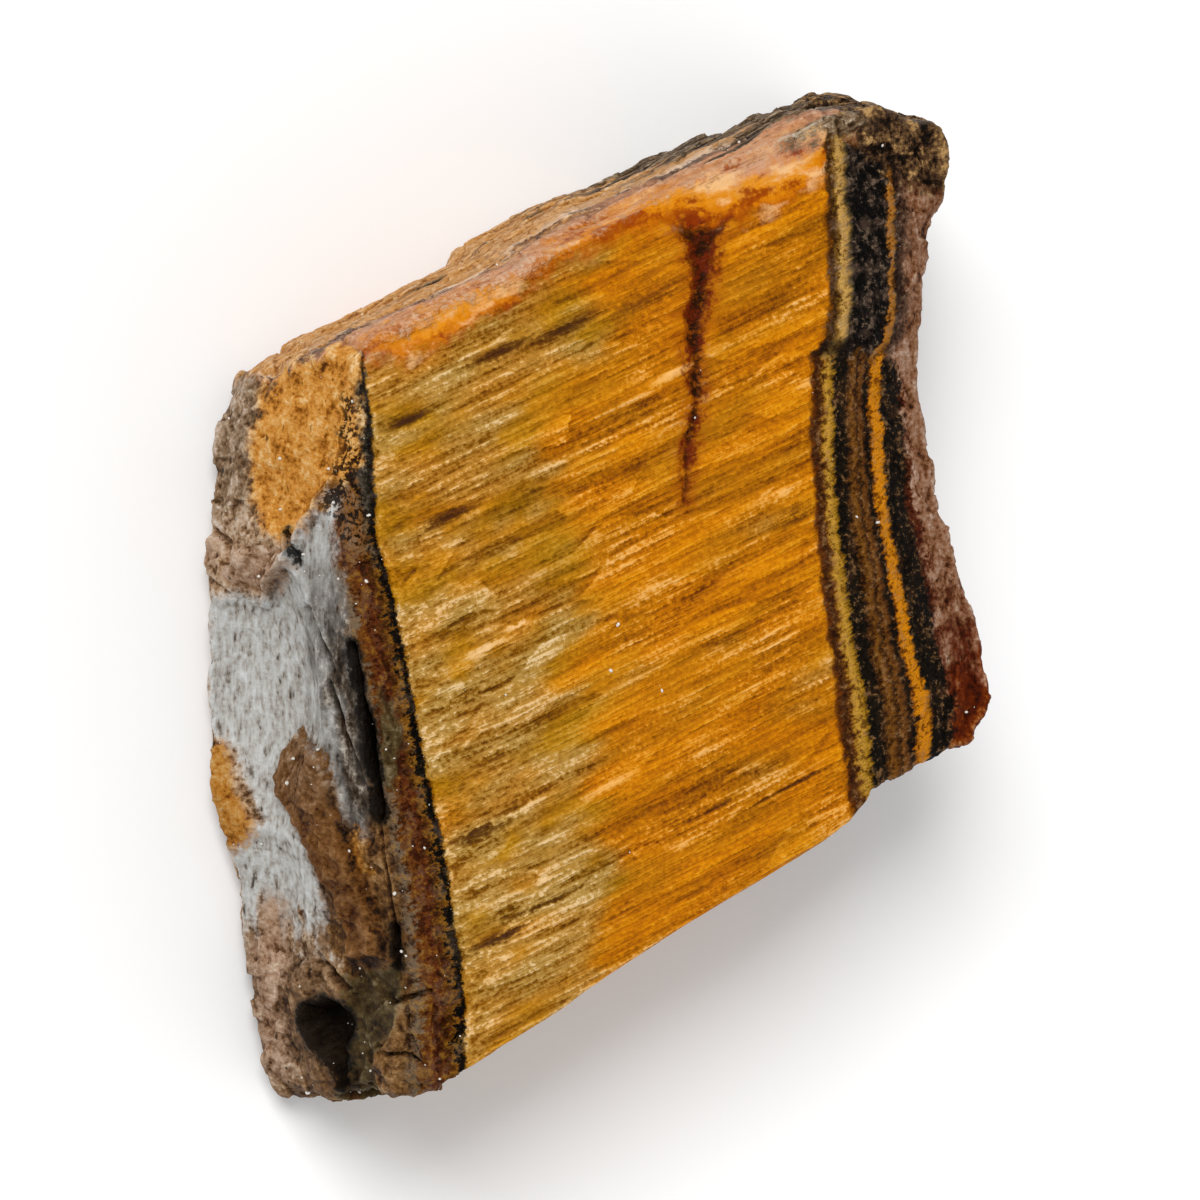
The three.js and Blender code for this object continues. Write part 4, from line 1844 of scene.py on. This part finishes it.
    def flank(self, cloth: Cloth, look: Look, place: Feed) -> Look:
        """Lays the left flank's rock, then its rinds, breaks and plates, and paints shade into its holes
        and gaps.

        Args:
            cloth: The material's noises.
            look: The look so far.
            place: The place on the sheet.

        Returns:
            The new look.
        """
        w = cloth.w
        ragged = cloth.ragged(0.12, 0.35)
        outer = w.remap(w.total(w.field(Field.LEFT_WALL), ragged), -1.7, -2.2, smooth=True)
        look = cloth.lay(look, self.flank_rock(cloth, place, ragged), outer)
        # painted shade: the grey shell gives way to its darker copy beside the gap, mixed with darker rock
        shell = cloth.lay(GREY_SHELL.dress(cloth), GREY_SHADE_AND_DARK_ROCK.dress(cloth), w.field(Field.GLOOM))
        low = self.height_up(w, place, 0.0, -3.0)
        rind = self.dulled(w, OCHRE_RIND.dress(cloth), self.rind_tint, low)
        lower_end = self.height_up(w, place, -6.0, -10.0)
        plate = self.dulled(w, BROWN_PLATE.dress(cloth), self.plate_tint, lower_end)
        for kind, stuff, start, end in (
            (Field.SHELL, shell, -0.35, 0.35),
            (Field.OCHRE, rind, -0.4, 0.25),
            (Field.LENS, plate, -0.1, 0.15),
            (Field.MOSS, MOSSY_FLOOR.dress(cloth), -0.2, 0.2),
            (Field.LUMP, PINK_STONE.dress(cloth), -0.4, 0.6),
        ):
            look = cloth.lay(look, stuff, cloth.past(kind, ragged, start, end))
        spots = w.remap(cloth.weigh(Noise.GRAIN, 0.8, Noise.DASHES, 0.3), 0.54, 0.44, smooth=True)
        spots = w.maths("MULTIPLY", spots, cloth.past(Field.SPECK, ragged, -0.3, 0.3))
        # painted shade: holes and gaps are painted near black; the black specks are the rock's own colour
        painted_hole_shade = w.maths("MULTIPLY", cloth.past(Field.HOLLOW, cloth.ragged(0.15, 0.15), -0.26, 0.04), 0.97)
        shade = w.maths("MAXIMUM", w.maths("MULTIPLY", spots, 0.9), painted_hole_shade)
        return Look(w.mix(shade, look.colour, srgb(self.hole_shade_and_speck)), look.height, look.roughness)


# ---- the sub-assembly ---------------------------------------------------------------------------


@dataclass
class QuartzGrains:
    """Loose quartz grains that cling to the stone where it was broken.

    Attributes:
        count: Number of grains.
        smallest: Width of the smallest.
        largest: Width of the largest.
        lift: How far a grain's middle stands off the stone, as a share of its width.
        cling: Chance that a grain stays on the gold.
        rock_cling: How much greater the chance is on the left flank.
        nook_cling: How much greater the chance is in a nook.
        colour: The grains' colour.
        roughness: Their roughness.
        seed: Seed of the scatter.
    """

    count: int = 170
    smallest: float = 0.05
    largest: float = 0.28
    lift: float = 0.1
    cling: float = 0.12
    rock_cling: float = 0.6
    nook_cling: float = 0.3
    colour: str = "dcd6cc"
    roughness: float = 0.4
    seed: int = 7

    def build(self, stone: bpy.types.Object) -> bpy.types.Object:
        """Scatters the grains over the stone.

        Args:
            stone: The finished stone, whose fields say where grains cling.

        Returns:
            The grains, joined into one object.
        """
        draw = random.Random(self.seed)
        left = stone.data.attributes[Field.LEFT_WALL.value].data
        cavity = stone.data.attributes[Field.CAVITY.value].data
        upward = [v.index for v in stone.data.vertices if v.normal.z > 0.1]
        work = bmesh.new()
        placed = 0
        while placed < self.count:
            index = draw.choice(upward)
            rock = self.rock_cling if left[index].value < 0.0 else 0.0
            if draw.random() > self.cling + rock + self.nook_cling * cavity[index].value:
                continue
            vertex = stone.data.vertices[index]
            width = self.smallest + (self.largest - self.smallest) * draw.random() ** 3
            turn = Matrix.Rotation(draw.uniform(0.0, math.tau), 4, vertex.normal)
            stretch = Matrix.Diagonal((1.0, draw.uniform(0.5, 0.9), draw.uniform(0.5, 0.9), 1.0))
            place = Matrix.Translation(vertex.co + self.lift * width * MM * vertex.normal)
            bmesh.ops.create_icosphere(
                work, subdivisions=1, radius=0.5 * width * MM, matrix=place @ turn @ stretch
            )
            placed += 1
        mesh = bpy.data.meshes.new("quartz_grains")
        work.to_mesh(mesh)
        work.free()
        grains = bpy.data.objects.new("quartz_grains", mesh)
        bpy.context.scene.collection.objects.link(grains)
        paint = bpy.data.materials.new("quartz_grain")
        paint.use_nodes = True
        shader = paint.node_tree.nodes["Principled BSDF"]
        shader.inputs["Base Color"].default_value = srgb(self.colour)
        shader.inputs["Roughness"].default_value = self.roughness
        mesh.materials.append(paint)
        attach(grains, "root")
        log.info("%s: %d grains", grains.name, self.count)
        return grains


@dataclass
class TigersEye:
    """The rough stone.

    Attributes:
        form: Its surface.
        finish: Its finish.
        grains: The grains that cling to it.
    """

    form: StoneForm = field(default_factory=StoneForm)
    finish: StoneFinish = field(default_factory=StoneFinish)
    grains: QuartzGrains = field(default_factory=QuartzGrains)

    def build(self) -> bpy.types.Object:
        """Makes the stone, dresses it and hands it to the frame.

        Returns:
            The finished object.
        """
        stone = self.form.build()
        stone.data.materials.clear()
        stone.data.materials.append(self.finish.build())
        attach(stone, "root")
        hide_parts(NODE)
        log.info("%s: %d triangles", stone.name, len(stone.data.polygons))
        self.grains.build(stone)
        return stone


# ---- the studio ---------------------------------------------------------------------------------


@dataclass(frozen=True)
class Lamp:
    """A soft square lamp that points at the stone.

    Attributes:
        name: The lamp's name.
        place: Where it hangs, in metres.
        size: The length of its side, in metres.
        watts: Its power.
    """

    name: str
    place: tuple[float, float, float]
    size: float
    watts: float

    def build(self, target: Vector) -> None:
        """Hangs the lamp.

        Args:
            target: The point that it shines at, in metres.
        """
        data = bpy.data.lights.new(self.name, "AREA")
        data.shape = "SQUARE"
        data.size = self.size
        data.energy = self.watts
        lamp = bpy.data.objects.new(self.name, data)
        lamp.location = self.place
        lamp.rotation_euler = (target - lamp.location).to_track_quat("-Z", "Y").to_euler()
        bpy.context.scene.collection.objects.link(lamp)


@dataclass
class Studio:
    """A pale floor, soft light and a camera that looks down on the stone.

    Attributes:
        tilt: The camera's tilt from straight down, towards the left flank.
        lens: The camera's focal length.
        sensor: The width of its sensor.
        field_width: Width that the picture takes in at the stone's middle.
        aim_height: Height of the point that the camera looks at.
        lamps: The lamps.
        sky: Strength of the even light from all round.
        floor_half: Half the floor's width, in metres.
        floor_white: The floor's brightness, from 0 to 1.
    """

    tilt: float = math.radians(20.0)
    lens: float = 135.0
    sensor: float = 36.0
    field_width: float = 52.17
    aim_height: float = 8.0
    lamps: tuple[Lamp, ...] = (
        Lamp("key", (-0.25, 0.30, 0.62), 0.3, 3.6),
        Lamp("fill", (0.45, -0.30, 0.5), 0.6, 0.9),
    )
    sky: float = 0.5
    floor_half: float = 2.0
    floor_white: float = 0.96

    def build(self) -> None:
        """Makes the floor, the lamps, the sky and the camera."""
        target = Vector((-SHEET_ZERO[0], -SHEET_ZERO[1], self.aim_height)) * MM
        self.lay_floor()
        for lamp in self.lamps:
            lamp.build(target)
        self.light_sky()
        self.hang_camera(target)
        bpy.context.scene.view_settings.view_transform = "Standard"
        log.info("studio: floor, %d lamps, camera", len(self.lamps))

    def lay_floor(self) -> None:
        """Lays a wide pale floor under the stone."""
        work = bmesh.new()
        bmesh.ops.create_grid(work, x_segments=1, y_segments=1, size=self.floor_half)
        mesh = bpy.data.meshes.new("floor")
        work.to_mesh(mesh)
        work.free()
        floor = bpy.data.objects.new("floor", mesh)
        bpy.context.scene.collection.objects.link(floor)
        paint = bpy.data.materials.new("floor")
        paint.use_nodes = True
        shader = paint.node_tree.nodes["Principled BSDF"]
        white = self.floor_white
        shader.inputs["Base Color"].default_value = (white, white, white, 1.0)
        shader.inputs["Roughness"].default_value = 0.9
        shader.inputs["Specular IOR Level"].default_value = 0.1
        mesh.materials.append(paint)

    def light_sky(self) -> None:
        """Lights the scene evenly from all round."""
        world = bpy.data.worlds.new("sky")
        world.use_nodes = True
        background = world.node_tree.nodes["Background"]
        background.inputs["Color"].default_value = (1.0, 1.0, 1.0, 1.0)
        background.inputs["Strength"].default_value = self.sky
        bpy.context.scene.world = world

    def hang_camera(self, target: Vector) -> None:
        """Puts the camera over the stone, with +Y up in the picture.

        Args:
            target: The point that it looks at, in metres.
        """
        data = bpy.data.cameras.new("camera")
        data.lens = self.lens
        data.sensor_width = self.sensor
        data.clip_start = 0.01
        distance = self.field_width * self.lens / self.sensor * MM
        camera = bpy.data.objects.new("camera", data)
        turn = Matrix.Rotation(-self.tilt, 4, "Y")
        back = turn @ Vector((0.0, 0.0, distance))
        camera.matrix_world = Matrix.Translation(target + back) @ turn
        bpy.context.scene.collection.objects.link(camera)
        bpy.context.scene.camera = camera


def main() -> None:
    """Builds the studio and the stone."""
    logging.basicConfig(level=logging.INFO, format="%(name)s: %(message)s")
    Studio().build()
    TigersEye().build()


if __name__ == "__main__":
    main()
